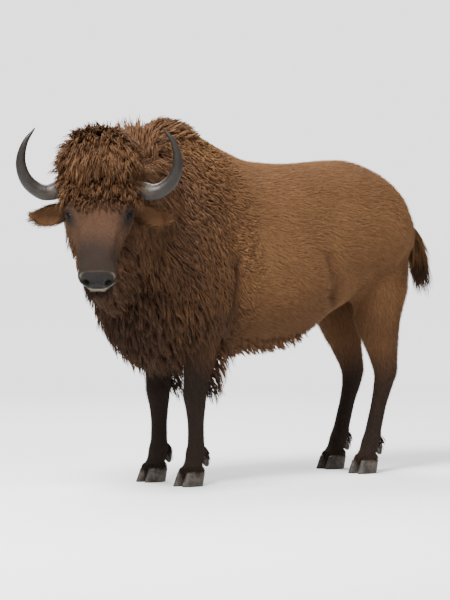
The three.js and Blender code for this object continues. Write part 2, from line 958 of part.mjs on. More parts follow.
// Each leg below the trunk, with its cuff of hair, its claws and its dewclaws.
const JOINT_DROP = 60; // how far below the knee or hock the leg is parted
for (const [kind, feet, legs, cut, joint, toeX] of [
  ["fore", FOREFOOT, forelegs, ELBOW_CUT, KNEE, -26],
  ["hind", HINDFOOT, hindlegs, STIFLE_CUT, HOCK, -6],
]) {
  const jointCut = levelAt(joint - JOINT_DROP);
  for (const [name, foot] of Object.entries(feet)) {
    const below = keepAhead(keepBehind(legSolid(legs[name]), cut), levelAt(CORONET));
    const lower = keepBehind(below, jointCut);
    const cuffs = kind === "fore" ? cuff(legs[name], 101 + foot.y) : [];
    const upper = join(keepAhead(below, jointCut), cuffs);
    add(`${kind}leg_upper_${name}`, clearOf(keepBehind(upper, cut), body), COAT.dark);
    add(`${kind}leg_lower_${name}`, lower, COAT.dark);
    for (const [toe, toeSide] of [["inner", -Math.sign(foot.y)], ["outer", Math.sign(foot.y)]]) {
      add(`hoof_${kind}_${name}_${toe}`, claw(foot, toeX, toeSide), HOOF);
      add(`dewclaw_${kind}_${name}_${toe}`, dewclaw(foot, toeX, toeSide, lower), HOOF);
    }
  }
}

const tail = dock.solid(8, 8);
add("tail_dock", clearOf(keepBehind(tail, DOCK_CUT), rump), COAT.body);
add("tail_tuft", keepAhead(join(tail, tuft()), DOCK_CUT), COAT.dark);

// The origin is on the floor under the middle of the model's box.
const box = new THREE.Box3().setFromObject(bison);
bison.position.set(-(box.min.x + box.max.x) / 2, -(box.min.y + box.max.y) / 2, 0);

export default bison;
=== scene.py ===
"""Dresses a life-size European bison bull: its skin, coat, horns, hooves and eyes.

The named sizes are in millimetres, in the modeller's own axes: the animal faces -X, its
left side is -Y and +Z is up, with the floor at z = 0. PLACE turns them into the metres of
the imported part, which differ only by a shift over the floor.
"""

import logging
import math
from collections.abc import Callable, Iterable
from dataclasses import dataclass, field, replace
from enum import Enum
from functools import cached_property, partialmethod

import bmesh
import bpy
import numpy as np
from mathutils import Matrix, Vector
from mathutils.bvhtree import BVHTree


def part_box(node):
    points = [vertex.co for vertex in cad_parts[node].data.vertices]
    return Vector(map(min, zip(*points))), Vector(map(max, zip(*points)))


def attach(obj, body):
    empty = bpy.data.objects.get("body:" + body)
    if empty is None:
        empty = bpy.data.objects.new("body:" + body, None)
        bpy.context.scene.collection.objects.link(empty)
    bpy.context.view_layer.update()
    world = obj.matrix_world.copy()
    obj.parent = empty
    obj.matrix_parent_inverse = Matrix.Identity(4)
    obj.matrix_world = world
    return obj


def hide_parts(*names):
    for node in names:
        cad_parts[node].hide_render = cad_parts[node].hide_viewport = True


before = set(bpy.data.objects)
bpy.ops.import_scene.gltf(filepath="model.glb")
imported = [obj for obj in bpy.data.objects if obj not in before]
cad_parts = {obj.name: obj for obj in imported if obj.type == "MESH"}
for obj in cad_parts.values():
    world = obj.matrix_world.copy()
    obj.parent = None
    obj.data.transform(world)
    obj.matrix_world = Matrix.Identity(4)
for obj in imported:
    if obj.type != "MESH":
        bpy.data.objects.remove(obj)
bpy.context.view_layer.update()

log = logging.getLogger("bison")

Array = np.ndarray
Place = tuple[float, float, float]
Station = dict[str, Array]
Lie = Callable[[Array, Array], Array]  # how hair lies, from the ways out and how far along
Material, Object = bpy.types.Material, bpy.types.Object

MM = 0.001
SIDES = {"left": -1.0, "right": 1.0}  # the sign of y on each side
BOTH = tuple(SIDES.values())
UP = np.array([0.0, 0.0, 1.0])
ONWARD = np.array([-1.0, 0.0, 0.0])  # the way the body faces


# ------------------------------------------------------------------ driving dimensions
CHEST_X, RUMP_X = -760.0, 1150.0
FOREFOOT = {"left": (-365.0, -165.0), "right": (-325.0, 160.0)}
HINDFOOT = {"left": (800.0, -165.0), "right": (890.0, 165.0)}
SHOULDER_X, HIP_X = -330.0, 915.0
ELBOW, KNEE, STIFLE, HOCK, CORONET = 735.0, 435.0, 800.0, 505.0, 72.0
HEAD_AT = np.array([-1051.0, -270.0, 1455.0])
HEAD_LENGTH, POLL = 600.0, -60.0
HEAD_TURN, HEAD_PITCH = math.radians(48), math.radians(51)
EYE_R = 22.0
HORN_R, HORN_REACH, HORN_RISE = 46.0, 247.0, 246.0
EAR_LENGTH = 225.0
GAP = 0.3


def unit(v: Array) -> Array:
    """Vectors scaled to length one."""
    return v / np.maximum(np.linalg.norm(v, axis=-1, keepdims=True), 1e-9)


def mix(a: Array, b: Array, t: Array) -> Array:
    """The value a share t of the way from a to b."""
    return a + (b - a) * t


def smooth(low: float, high: float, x: Array) -> Array:
    """0 up to low, 1 from high on, with a soft step between; low may be the larger."""
    t = np.clip((x - low) / (high - low), 0, 1)
    return t * t * (3 - 2 * t)


HEADING = np.array([-math.cos(HEAD_TURN), -math.sin(HEAD_TURN), 0.0])
LEFTWARD = np.array([math.sin(HEAD_TURN), -math.cos(HEAD_TURN), 0.0])


@dataclass(frozen=True)
class Axes:
    """A set of axes at a place: the rows are its x, y and z."""

    at: Array
    rows: Array

    def out(self, local: Array) -> Array:
        """Points in the modeller's axes from points in these."""
        return np.asarray(local, float) @ self.rows + self.at

    def into(self, points: Array) -> Array:
        """Points in these axes from points in the modeller's."""
        return (points - self.at) @ self.rows.T

    def turn(self, ways: Array) -> Array:
        """Directions in the modeller's axes from directions in these."""
        return np.asarray(ways, float) @ self.rows


def head_axes() -> Axes:
    """The head's axes: x to the muzzle, y to its left, z out of the forehead."""
    x = HEADING * math.cos(HEAD_PITCH) - UP * math.sin(HEAD_PITCH)
    return Axes(HEAD_AT, np.array([x, LEFTWARD, np.cross(x, LEFTWARD)]))


HEAD = head_axes()
CROWN_SIZE = {"ahead": 92.0, "side": 142.0, "up": 112.0, "rise": 54.0}
CROWN = Axes(
    HEAD.out([-12, 0, 92]) + UP * CROWN_SIZE["rise"], np.array([HEADING, LEFTWARD, UP])
)
LEVEL = Axes(np.zeros(3), np.eye(3))


HOOF_CORNER = np.array([-0.479, -0.228, 0.0])  # the lowest corner of the hoof below


def shift_over_floor() -> Array:
    """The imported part's shift from the modeller's axes, in metres, read from a hoof."""
    return np.array(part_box("hoof_fore_left_outer")[0]) * (1, 1, 0) - HOOF_CORNER


PLACE = Axes(shift_over_floor(), np.eye(3) * MM)


# ------------------------------------------------------------------ shape tools
class Profile:
    """A smooth curve through (place, value) keys that never overshoots them."""

    def __init__(self, *keys: tuple[float, float]) -> None:
        """Fits the curve.

        Args:
            keys: the places, in any order, and the value at each.
        """
        self.x, self.y = np.array(sorted(keys), float).T
        rise = np.diff(self.y) / np.diff(self.x)
        same = rise[:-1] * rise[1:]
        total = np.where(same > 0, rise[:-1] + rise[1:], 1.0)
        inner = np.where(same > 0, 2 * same / total, 0.0)
        self.slope = np.concatenate([rise[:1], inner, rise[-1:]])

    def __call__(self, x: Array) -> Array:
        """The curve's values.

        Args:
            x: the places to read.

        Returns:
            One value for each place.
        """
        x = np.clip(x, self.x[0], self.x[-1])
        i = np.clip(np.searchsorted(self.x, x, side="right") - 1, 0, len(self.x) - 2)
        h = self.x[i + 1] - self.x[i]
        t = (x - self.x[i]) / h
        t2, t3 = t * t, t * t * t
        return (
            (2 * t3 - 3 * t2 + 1) * self.y[i]
            + (t3 - 2 * t2 + t) * h * self.slope[i]
            + (3 * t2 - 2 * t3) * self.y[i + 1]
            + (t3 - t2) * h * self.slope[i + 1]
        )


class Line:
    """A smooth line through points, read by its share of the whole length."""

    STEPS = 48  # samples between two points

    def __init__(self, points: Iterable[Iterable[float]]) -> None:
        """Samples a centripetal Catmull-Rom curve.

        Args:
            points: the points that the line passes through.
        """
        p = np.array([list(q) for q in points], float)
        p = np.vstack([2 * p[0] - p[1], p, 2 * p[-1] - p[-2]])
        gaps = np.sqrt(np.linalg.norm(np.diff(p, axis=0), axis=1))
        t = np.linspace(0, 1, self.STEPS, endpoint=False)[:, None]
        runs = []
        for i in range(len(p) - 3):
            a, b, c, d = p[i : i + 4]
            g0, g1, g2 = gaps[i : i + 3]
            start = ((b - a) / g0 - (c - a) / (g0 + g1) + (c - b) / g1) * g1
            end = ((c - b) / g1 - (d - b) / (g1 + g2) + (d - c) / g2) * g1
            runs.append(
                (2 * t**3 - 3 * t**2 + 1) * b
                + (t**3 - 2 * t**2 + t) * start
                + (3 * t**2 - 2 * t**3) * c
                + (t**3 - t**2) * end
            )
        self.points = np.vstack([*runs, p[-2:-1]])
        steps = np.linalg.norm(np.diff(self.points, axis=0), axis=1)
        self.share = np.concatenate([[0.0], np.cumsum(steps)]) / steps.sum()

    def at(self, share: Array) -> Array:
        """The points at these shares of the length."""
        return np.stack([np.interp(share, self.share, c) for c in self.points.T], -1)

    def along(self, share: Array) -> Array:
        """The unit directions of travel at these shares of the length."""
        low, high = np.clip(share - 0.004, 0, 1), np.clip(share + 0.004, 0, 1)
        return unit(self.at(high) - self.at(low))


def on_side(place: Iterable[float], side: float) -> Array:
    """A place given for the right side, on a side; -1 is the left."""
    return np.array(place, float) * (1, side, 1)


@dataclass(frozen=True)
class Swell:
    """A soft bulge: it pushes the surface near a place, fading over its reach."""

    at: Iterable[float]
    reach: Place
    push: Iterable[float]

    def on(self, side: float) -> "Swell":
        """This swell, given for the right side, on a side."""
        return Swell(on_side(self.at, side), self.reach, on_side(self.push, side))

    def moved(self, points: Array) -> Array:
        """How far this swell moves each point."""
        off = (points - np.array(self.at)) / np.array(self.reach)
        return np.exp(-(off**2).sum(-1))[:, None] * np.array(self.push)


def on_each_side(*shapes: "Swell | Dent") -> list["Swell | Dent"]:
    """Shapes given for the right side, first on the left side and then on the right."""
    return [shape.on(side) for side in BOTH for shape in shapes]


@dataclass(frozen=True)
class Mesh:
    """A closed surface: its points, and its faces with four corners and with three."""

    points: Array
    quads: Array
    tris: Array

    @staticmethod
    def joined(meshes: list["Mesh"]) -> "Mesh":
        """Several surfaces as one, in their order."""
        starts = np.cumsum([0] + [len(m.points) for m in meshes[:-1]])
        return Mesh(
            np.vstack([m.points for m in meshes]),
            np.vstack([m.quads + s for m, s in zip(meshes, starts)]),
            np.vstack([m.tris + s for m, s in zip(meshes, starts)]),
        )


def turns(count: int) -> Array:
    """Angles spread evenly round a circle, from 0."""
    return np.arange(count) / count * math.tau


def closed_rings(rings: Array) -> Mesh:
    """A closed surface over rings of points, capped at both ends.

    Args:
        rings: points by ring, place round the ring, and axis.

    Returns:
        The surface, with a fan of triangles at each end.
    """
    count, around = rings.shape[:2]
    i, j = np.meshgrid(np.arange(count - 1), np.arange(around), indexing="ij")
    a, d = (i * around + j).ravel(), (i * around + (j + 1) % around).ravel()
    quads = np.stack([a, a + around, d + around, d], -1)
    k = np.arange(around)
    last, end = (count - 1) * around, count * around
    first_cap = np.stack([np.full(around, end), k, (k + 1) % around], -1)
    last_cap = np.stack([np.full(around, end + 1), last + (k + 1) % around, last + k], -1)
    points = np.vstack([rings.reshape(-1, 3), rings[0].mean(0), rings[-1].mean(0)])
    return Mesh(points, quads, np.vstack([first_cap, last_cap]))


@dataclass
class Tube:
    """A lofted form: each station has a centre, axes, reaches and squareness.

    A station is a dict of arrays: at, along, up, top, bottom, half, square_top and
    square_bottom. The angle round it is 0 at its top and a quarter turn at its left.
    """

    station: Callable[[Array], Station]
    swells: list[Swell] = field(default_factory=list)
    axes: Axes = LEVEL

    def point(self, t: Array, angle: Array) -> Array:
        """Points of the surface.

        Args:
            t: the place along the tube, 0 to 1.
            angle: the angle round it, in radians.

        Returns:
            A point in the modeller's axes for each pair.
        """
        t, angle = np.broadcast_arrays(np.asarray(t, float), np.asarray(angle, float))
        shape = t.shape
        s = self.station(t.ravel())
        c, d = np.cos(angle.ravel()), np.sin(angle.ravel())
        high = c >= 0
        power = 2 / np.where(high, s["square_top"], s["square_bottom"])
        up = np.sign(c) * np.abs(c) ** power * np.where(high, s["top"], s["bottom"])
        out = np.sign(d) * np.abs(d) ** power * s["half"]
        left = unit(np.cross(s["up"], s["along"]))
        bare = s["at"] + s["up"] * up[:, None] + left * out[:, None]
        full = bare + sum((swell.moved(bare) for swell in self.swells), np.zeros(3))
        return self.axes.out(full).reshape(*shape, 3)

    def outward(self, t: Array, angle: Array) -> Array:
        """The ways out of the surface.

        Args:
            t: the place along the tube, 0 to 1.
            angle: the angle round it, in radians.

        Returns:
            A unit direction in the modeller's axes for each pair.
        """
        at = self.point(t, angle)
        ahead, around = self.point(t + 0.01, angle) - at, self.point(t, angle + 0.05) - at
        return unit(np.cross(ahead, around))

    def rings(self, t: Array, around: int) -> Array:
        """The surface's points, by ring and by place round it."""
        return self.point(t[:, None], turns(around)[None, :])


def station_of(
    at: Array,
    along: Array,
    up: Array,
    reach: tuple[Array, Array, Array],
    square: tuple[Array, Array] = (2.0, 2.0),
) -> Station:
    """A station's values, each spread to one for each place.

    Args:
        at: the centres.
        along: the way of travel.
        up: the way up.
        reach: how far it reaches up, down and to each side.
        square: how square its upper and lower halves are; 2 is an ellipse.

    Returns:
        The dict of arrays that a Tube reads.
    """
    n = len(at)
    spread = {"along": along, "up": up}
    values = dict(zip(("top", "bottom", "half"), reach))
    values |= dict(zip(("square_top", "square_bottom"), square))
    return (
        {"at": at}
        | {k: np.broadcast_to(v, (n, 3)) for k, v in spread.items()}
        | {k: np.broadcast_to(v, (n,)).astype(float) for k, v in values.items()}
    )


# ------------------------------------------------------------------ the animal's forms
@dataclass(frozen=True)
class Trunk:
    """The body from the chest to the buttocks, by its profiles along x."""

    top: Profile = Profile(
        (-760, 1330), (-680, 1570), (-570, 1715), (-420, 1770), (-270, 1730),
        (-80, 1654), (110, 1596), (330, 1583), (740, 1605), (920, 1562),
        (1050, 1470), (1120, 1350), (1150, 1230),
    )  # fmt: skip
    under: Profile = Profile(
        (-760, 900), (-700, 745), (-610, 655), (-490, 612), (-350, 620),
        (-100, 634), (180, 646), (370, 678), (520, 765), (720, 850),
        (930, 930), (1080, 1020), (1150, 1120),
    )  # fmt: skip
    half: Profile = Profile(
        (-760, 110), (-705, 205), (-620, 262), (-460, 308), (-280, 335), (0, 368),
        (200, 385), (400, 372), (620, 338), (850, 305), (1010, 258), (1100, 190),
        (1150, 85),
    )  # fmt: skip
    widest: Profile = Profile((-760, 0.45), (-400, 0.4), (200, 0.42), (1150, 0.55))
    ridge: Profile = Profile((-760, 1.8), (-430, 1.55), (0, 1.75), (400, 1.95), (1150, 2.1))
    blade: Swell = Swell((-420, 290, 1290), (190, 220, 330), (0, 36, 0))
    thigh: Swell = Swell((945, 290, 1160), (190, 220, 270), (12, 46, 0))

    def tube(self) -> Tube:
        """The trunk, with the muscle over each shoulder blade and thigh."""

        def station(t: Array) -> Station:
            """The stations from the rump to the chest."""
            x = mix(RUMP_X, CHEST_X, t)
            top, under = self.top(x), self.under(x)
            middle = mix(under, top, self.widest(x))
            reach = (top - middle, middle - under, self.half(x))
            at = np.stack([x, 0 * x, middle], -1)
            return station_of(at, ONWARD, UP, reach, (self.ridge(x), 2.0))

        return Tube(station, on_each_side(self.blade, self.thigh))

    @staticmethod
    def share(x: float) -> float:
        """How far along the tube the place x is."""
        return (RUMP_X - x) / (RUMP_X - CHEST_X)


@dataclass(frozen=True)
class Neck:
    """The deep neck, which turns to the left."""

    line: Line = Line(
        [(-450, 0, 1300), (-670, -10, 1320), (-830, -85, 1360), (-950, -180, 1405),
         (-1040, -259, 1440)]
    )  # fmt: skip
    top: Profile = Profile((0, 430), (0.3, 375), (0.6, 255), (0.8, 185), (1, 120))
    bottom: Profile = Profile((0, 430), (0.3, 465), (0.6, 400), (0.8, 310), (1, 200))
    half: Profile = Profile((0, 240), (0.35, 225), (0.7, 185), (1, 140))

    def tube(self) -> Tube:
        """The neck from inside the chest to the back of the skull."""

        def station(t: Array) -> Station:
            """The stations towards the head."""
            along = self.line.along(t)
            up = np.cross(along, unit(np.cross(UP, along)))
            reach = (self.top(t), self.bottom(t), self.half(t))
            return station_of(self.line.at(t), along, up, reach, (1.75, 1.65))

        return Tube(station)


@dataclass(frozen=True)
class Skull:
    """The head without its horns and ears, in the head's own axes."""

    top: Profile = Profile(
        (-60, 85), (0, 118), (70, 132), (160, 126), (240, 108), (330, 88),
        (430, 76), (520, 70), (565, 60), (600, 22),
    )  # fmt: skip
    bottom: Profile = Profile(
        (-60, 110), (0, 130), (120, 128), (240, 105), (350, 80), (450, 64),
        (540, 52), (600, 26),
    )  # fmt: skip
    half: Profile = Profile(
        (-60, 115), (0, 145), (80, 160), (170, 157), (235, 147), (310, 124),
        (400, 100), (470, 90), (530, 92), (572, 84), (600, 50),
    )  # fmt: skip
    jaw_back: float = 70.0
    chin: float = 578.0
    jaw_half: Profile = Profile((0, 70), (0.15, 116), (0.4, 94), (0.7, 68), (0.88, 68), (1, 42))
    jaw_depth: Profile = Profile((0, 60), (0.2, 78), (0.5, 56), (0.85, 42), (1, 24))
    swells: tuple[Swell, ...] = (  # y is to the head's left
        Swell((212, -141, 72), (62, 60, 46), (0, -16, 9)),  # the rim over the eye
        Swell((140, -136, -58), (110, 70, 64), (0, -12, -8)),  # the cheek
        Swell((556, -77, 22), (44, 34, 34), (0, -8, 9)),  # the nostril's wing
    )

    def tube(self) -> Tube:
        """The skull, without its jaw."""

        def station(t: Array) -> Station:
            """The stations from the poll to the muzzle."""
            x = mix(POLL, HEAD_LENGTH, t)
            at = np.stack([x, 0 * x, 0 * x], -1)
            reach = (self.top(x), self.bottom(x), self.half(x))
            return station_of(at, -ONWARD, UP, reach, (2.4, 2.2))

        return Tube(station, on_each_side(*self.swells), HEAD)

    def jaw(self) -> Tube:
        """The lower jaw, from under the ears to the chin."""

        def station(t: Array) -> Station:
            """The stations towards the chin."""
            x = mix(self.jaw_back, self.chin, t)
            at = np.stack([x, 0 * x, mix(-100, -46, t)], -1)
            reach = (50 + 0 * t, self.jaw_depth(t), self.jaw_half(t))
            return station_of(at, -ONWARD, UP, reach)

        return Tube(station, [], HEAD)

    @staticmethod
    def crown(fullness: float = 1.0) -> Tube:
        """The dome that the hair of the crown grows from.

        Args:
            fullness: the dome's size over that of the whole.

        Returns:
            The dome, from the back of the head to the front.
        """
        size = CROWN_SIZE

        def station(t: Array) -> Station:
            """The stations from back to front."""
            x = size["ahead"] * (2 * t - 1) * fullness
            round_ = np.sqrt(np.maximum(1 - (2 * t - 1) ** 2, 0.01)) * fullness
            up, side = size["up"] * round_, size["side"] * round_
            return station_of(np.stack([x, 0 * x, 0 * x], -1), -ONWARD, UP, (up, up, side))

        return Tube(station, [], CROWN)


# a leg's level rings: height, x from the foot, half length and half width
FORE_RINGS = (
    (980, 20, 135, 102), (840, 32, 132, 98), (ELBOW, 34, 120, 88),
    (620, 22, 95, 74), (520, 10, 77, 63), (KNEE, 0, 66, 58), (370, 4, 54, 51),
    (280, 6, 46, 44), (205, 6, 48, 45), (160, 4, 58, 53), (120, -10, 50, 50),
    (CORONET, -26, 58, 61), (CORONET - 20, -30, 58, 61),
)  # fmt: skip
HIND_RINGS = (
    (1150, 108, 160, 92), (1060, 92, 186, 106), (960, 78, 192, 112),
    (860, 74, 172, 102), (STIFLE, 70, 158, 96), (690, 92, 126, 80),
    (590, 122, 94, 64), (HOCK, 140, 74, 54), (440, 124, 60, 48),
    (330, 88, 49, 43), (220, 54, 49, 45), (165, 38, 58, 52), (122, 16, 50, 50),
    (CORONET, -4, 58, 60), (CORONET - 20, -8, 58, 60),
)  # fmt: skip


@dataclass(frozen=True)
class Leg:
    """A leg over a foot."""

    foot: tuple[float, float]  # its place on the floor
    top_x: float  # where along the body the leg's top is
    rings: tuple[tuple[float, ...], ...]
    spread: float  # the top's distance from the middle over the foot's

    def tube(self) -> Tube:
        """The leg, from its top down to the coronet."""
        keys = ([(ring[0], ring[k]) for ring in self.rings] for k in (1, 2, 3))
        centre, length, width = (Profile(*pairs) for pairs in keys)
        (x, y), (high, high_x) = self.foot, self.rings[0][:2]
        aside = Profile((CORONET, y), (400, y * 0.98), (900, y * self.spread))
        lean = Profile((KNEE, 0), (high, self.top_x - x - high_x))

        def station(t: Array) -> Station:
            """The stations downwards."""
            z = mix(high, CORONET - 20, t)
            at = np.stack([x + centre(z) + lean(z), aside(z), z], -1)
            return station_of(at, -UP, ONWARD, (length(z), length(z), width(z)))

        return Tube(station)


@dataclass(frozen=True)
class Tail:
    """The tail's dock, which hangs a little to the left."""

    line: Line = Line(
        [(1060, 0, 1450), (1130, -15, 1405), (1182, -60, 1310), (1202, -116, 1195),
         (1204, -152, 1090)]
    )  # fmt: skip

    def tube(self) -> Tube:
        """The dock from inside the rump to its end in the tuft."""

        def station(t: Array) -> Station:
            """The stations downwards."""
            along = self.line.along(t)
            up = unit(np.cross(along, [0.0, -1.0, 0.0]))
            radius = mix(42, 19, t**0.6)
            return station_of(self.line.at(t), along, up, (radius, radius, radius))

        return Tube(station)


class Kind(Enum):
    """Which form of the flesh a part of the skin comes from."""

    TRUNK = 0
    NECK = 1
    SKULL = 2
    JAW = 3
    CROWN = 4
    FORELEG = 5
    HINDLEG = 6
    DOCK = 7
    EAR = 8


@dataclass(frozen=True)
class Form:
    """One form of the flesh, with the detail that the skin is cast from."""

    kind: Kind
    tube: Tube
    steps: int
    around: int
    cast: bool = True  # whether the skin is cast from it, and not joined to it whole

    def rings(self) -> Array:
        """The form's points, by ring and by place round it."""
        return self.tube.rings(np.linspace(0, 1, self.steps + 1), self.around)


class Flesh:
    """All the forms of the flesh, and what lies where on them."""

    def __init__(self) -> None:
        """Lays out the forms from the tables of the body, head, legs and tail."""
        feet = ((FOREFOOT, SHOULDER_X, FORE_RINGS, 1.15), (HINDFOOT, HIP_X, HIND_RINGS, 1.05))
        fore, hind = ({k: Leg(f, *rest).tube() for k, f in pair.items()} for pair, *rest in feet)
        self.trunk, self.neck = Trunk().tube(), Neck().tube()
        self.skull, self.jaw = Skull().tube(), Skull().jaw()
        self.crown, self.dock = Skull.crown(), Tail().tube()
        self.forelegs, self.hindlegs = fore, hind
        self.forms = [
            Form(Kind.TRUNK, self.trunk, 150, 120),
            Form(Kind.NECK, self.neck, 70, 96),
            Form(Kind.SKULL, self.skull, 110, 96),
            Form(Kind.JAW, self.jaw, 70, 60),
            Form(Kind.CROWN, Skull.crown(0.82), 24, 32),
            *(Form(Kind.FORELEG, leg, 90, 44) for leg in fore.values()),
            *(Form(Kind.HINDLEG, leg, 100, 44) for leg in hind.values()),
            Form(Kind.DOCK, self.dock, 60, 24),
            *(Form(Kind.EAR, Ear(s).tube(), 60, 48, False) for s in BOTH),
        ]
        meshes = [closed_rings(f.rings()) for f in self.forms]
        self.mesh = Mesh.joined([m for f, m in zip(self.forms, meshes) if f.cast])
        self.ears = Mesh.joined([m for f, m in zip(self.forms, meshes) if not f.cast])
        self._index(meshes)

    def _index(self, meshes: list[Mesh]) -> None:
        """Keeps, for each face, its form and its place along and round it.

        Args:
            meshes: the forms' surfaces, in the order of the forms.
        """
        forms, places, angles, corners = [], [], [], []
        start = 0
        for number, (form, mesh) in enumerate(zip(self.forms, meshes)):
            row = np.repeat(np.arange(form.steps), form.around)
            column = np.tile(np.arange(form.around), form.steps)
            forms.append(np.full(len(mesh.quads), number))
            places.append((row + 0.5) / form.steps)
            angles.append((column + 0.5) / form.around * math.tau)
            corners.append(mesh.quads + start)
            start += len(mesh.points)
        self.form = np.concatenate(forms)
        self.place = np.concatenate(places)
        self.angle = np.concatenate(angles)
        faces = np.vstack(corners).tolist()
        points = np.vstack([mesh.points for mesh in meshes])
        self.tree = BVHTree.FromPolygons(points.tolist(), faces)

    def find(self, points: Array) -> tuple[Array, Array, Array]:
        """The form nearest to each point, by its number, the place along it and the angle."""
        face = np.array([self.tree.find_nearest(p)[2] for p in points.tolist()])
        return self.form[face], self.place[face], self.angle[face]

    def kinds(self, form: Array) -> Array:
        """The kinds' numbers of forms given by their own numbers."""
        return np.array([f.kind.value for f in self.forms])[form]


def among(kind: Array, *kinds: Kind) -> Array:
    """Which of the kinds' numbers stand for one of these kinds."""
    return np.isin(kind, [k.value for k in kinds])


# ------------------------------------------------------------------ mesh tools
def new_object(name: str, mesh: Mesh, material: Material | None = None) -> Object:
    """A Blender object over a surface in the modeller's axes.

    Args:
        name: the piece's name.
        mesh: the surface, in millimetres.
        material: its finish, if it has one yet.

    Returns:
        The object, smoothly shaded, in the part's frame.
    """
    data = bpy.data.meshes.new(name)
    points = PLACE.out(mesh.points)
    corners = np.concatenate([mesh.quads.ravel(), mesh.tris.ravel()])
    sizes = np.concatenate([np.full(len(mesh.quads), 4), np.full(len(mesh.tris), 3)])
    data.vertices.add(len(points))
    data.vertices.foreach_set("co", points.ravel().astype(np.float32))
    data.loops.add(len(corners))
    data.loops.foreach_set("vertex_index", corners.astype(np.int32))
    data.polygons.add(len(sizes))
    starts = np.concatenate([[0], np.cumsum(sizes)[:-1]])
    data.polygons.foreach_set("loop_start", starts.astype(np.int32))
    data.update(calc_edges=True)
    shade(data, True)
    if material:
        data.materials.append(material)
    piece = bpy.data.objects.new(name, data)
    bpy.context.scene.collection.objects.link(piece)
    return piece


def shade(data: bpy.types.Mesh, soft: bool) -> None:
    """Shades a mesh softly, or each face flat."""
    data.polygons.foreach_set("use_smooth", np.full(len(data.polygons), soft))


def read(
    items: bpy.types.bpy_prop_collection, key: str, width: int = 1, kind: type = np.int32
) -> Array:
    """Reads one value of each of a mesh's points, edges, corners or faces.

    Args:
        items: the mesh's points, edges, corners or faces.
        key: the value's name.
        width: how many numbers it holds.
        kind: what they are kept as.

    Returns:
        The numbers, a row for each.
    """
    flat = np.empty(len(items) * width, kind)
    items.foreach_get(key, flat)
    return flat.reshape(-1, width)


def points_of(data: bpy.types.Mesh) -> Array:
    """A mesh's points, in the modeller's axes."""
    return (read(data.vertices, "co", 3, np.float32).astype(float) - PLACE.at) / MM


def move_points(data: bpy.types.Mesh, points: Array) -> None:
    """Puts a mesh's points at new places in the modeller's axes."""
    data.vertices.foreach_set("co", PLACE.out(points).ravel().astype(np.float32))
    data.update()


def normals_of(data: bpy.types.Mesh) -> Array:
    """The unit normals at a mesh's points."""
    return read(data.vertex_normals, "vector", 3, np.float32).astype(float)


def edges_of(data: bpy.types.Mesh) -> Array:
    """The pairs of points that a mesh's edges join."""
    return read(data.edges, "vertices", 2)


SHRINK, SWELL_BACK = 0.55, -0.56  # one even round in, one out, so that the volume stays


def relaxed(points: Array, edges: Array, share: Array, rounds: int) -> Array:
    """Points evened out over a mesh, with no loss of volume.

    Args:
        points: the mesh's points.
        edges: the pairs of points that its edges join.
        share: how far each point may take part, 0 to 1.
        rounds: how many times the surface is evened out.

    Returns:
        The new points.
    """
    ends = np.concatenate([edges[:, 0], edges[:, 1]])
    others = np.concatenate([edges[:, 1], edges[:, 0]])
    count = np.maximum(np.bincount(ends, minlength=len(points)), 1)[:, None]
    points = points.copy()
    for pull in (SHRINK, SWELL_BACK) * rounds:
        total = [np.bincount(ends, points[others, k], len(points)) for k in range(3)]
        points += (np.stack(total, -1) / count - points) * (pull * share[:, None])
    return points


def set_values(data: bpy.types.Mesh, name: str, values: Array) -> None:
    """Writes one number, or one vector, for each point of a mesh.

    Args:
        data: the mesh.
        name: the attribute's name.
        values: a number or three for each point.
    """
    kind, key = ("FLOAT_VECTOR", "vector") if values.ndim > 1 else ("FLOAT", "value")
    made = data.attributes.new(name, kind, "POINT")
    made.data.foreach_set(key, np.ascontiguousarray(values, np.float32).ravel())


# ------------------------------------------------------------------ markings and painted fold shade
ELBOW_FOLD = ((-250, 330, 1420), (-236, 345, 1080), (-226, 318, 690))
FLANK_FOLD = ((334, 350, 1110), (420, 330, 910), (560, 285, 800))


def fold_shade(points: Array) -> Array:
    """How deep each place is in the folds behind the elbow and before the thigh, for painted shade.

    Args:
        points: places in the modeller's axes.

    Returns:
        The depth at each place, 0 to 1, which sets how much shade is painted there.
    """
    folded = points * (1, 0, 1)
    aside = smooth(150, 250, np.abs(points[:, 1]))
    shade = np.zeros(len(points))
    for fold in (ELBOW_FOLD[1:], FLANK_FOLD[:2], FLANK_FOLD[1:]):
        a, b = (np.array(p, float) * (1, 0, 1) for p in fold)
        share = np.clip((folded - a) @ (b - a) / ((b - a) @ (b - a)), 0, 1)
        off = np.linalg.norm(folded - mix(a, b, share[:, None]), axis=1)
        shade = np.maximum(shade, np.exp(-((off / 34) ** 2)) * aside)
    return shade


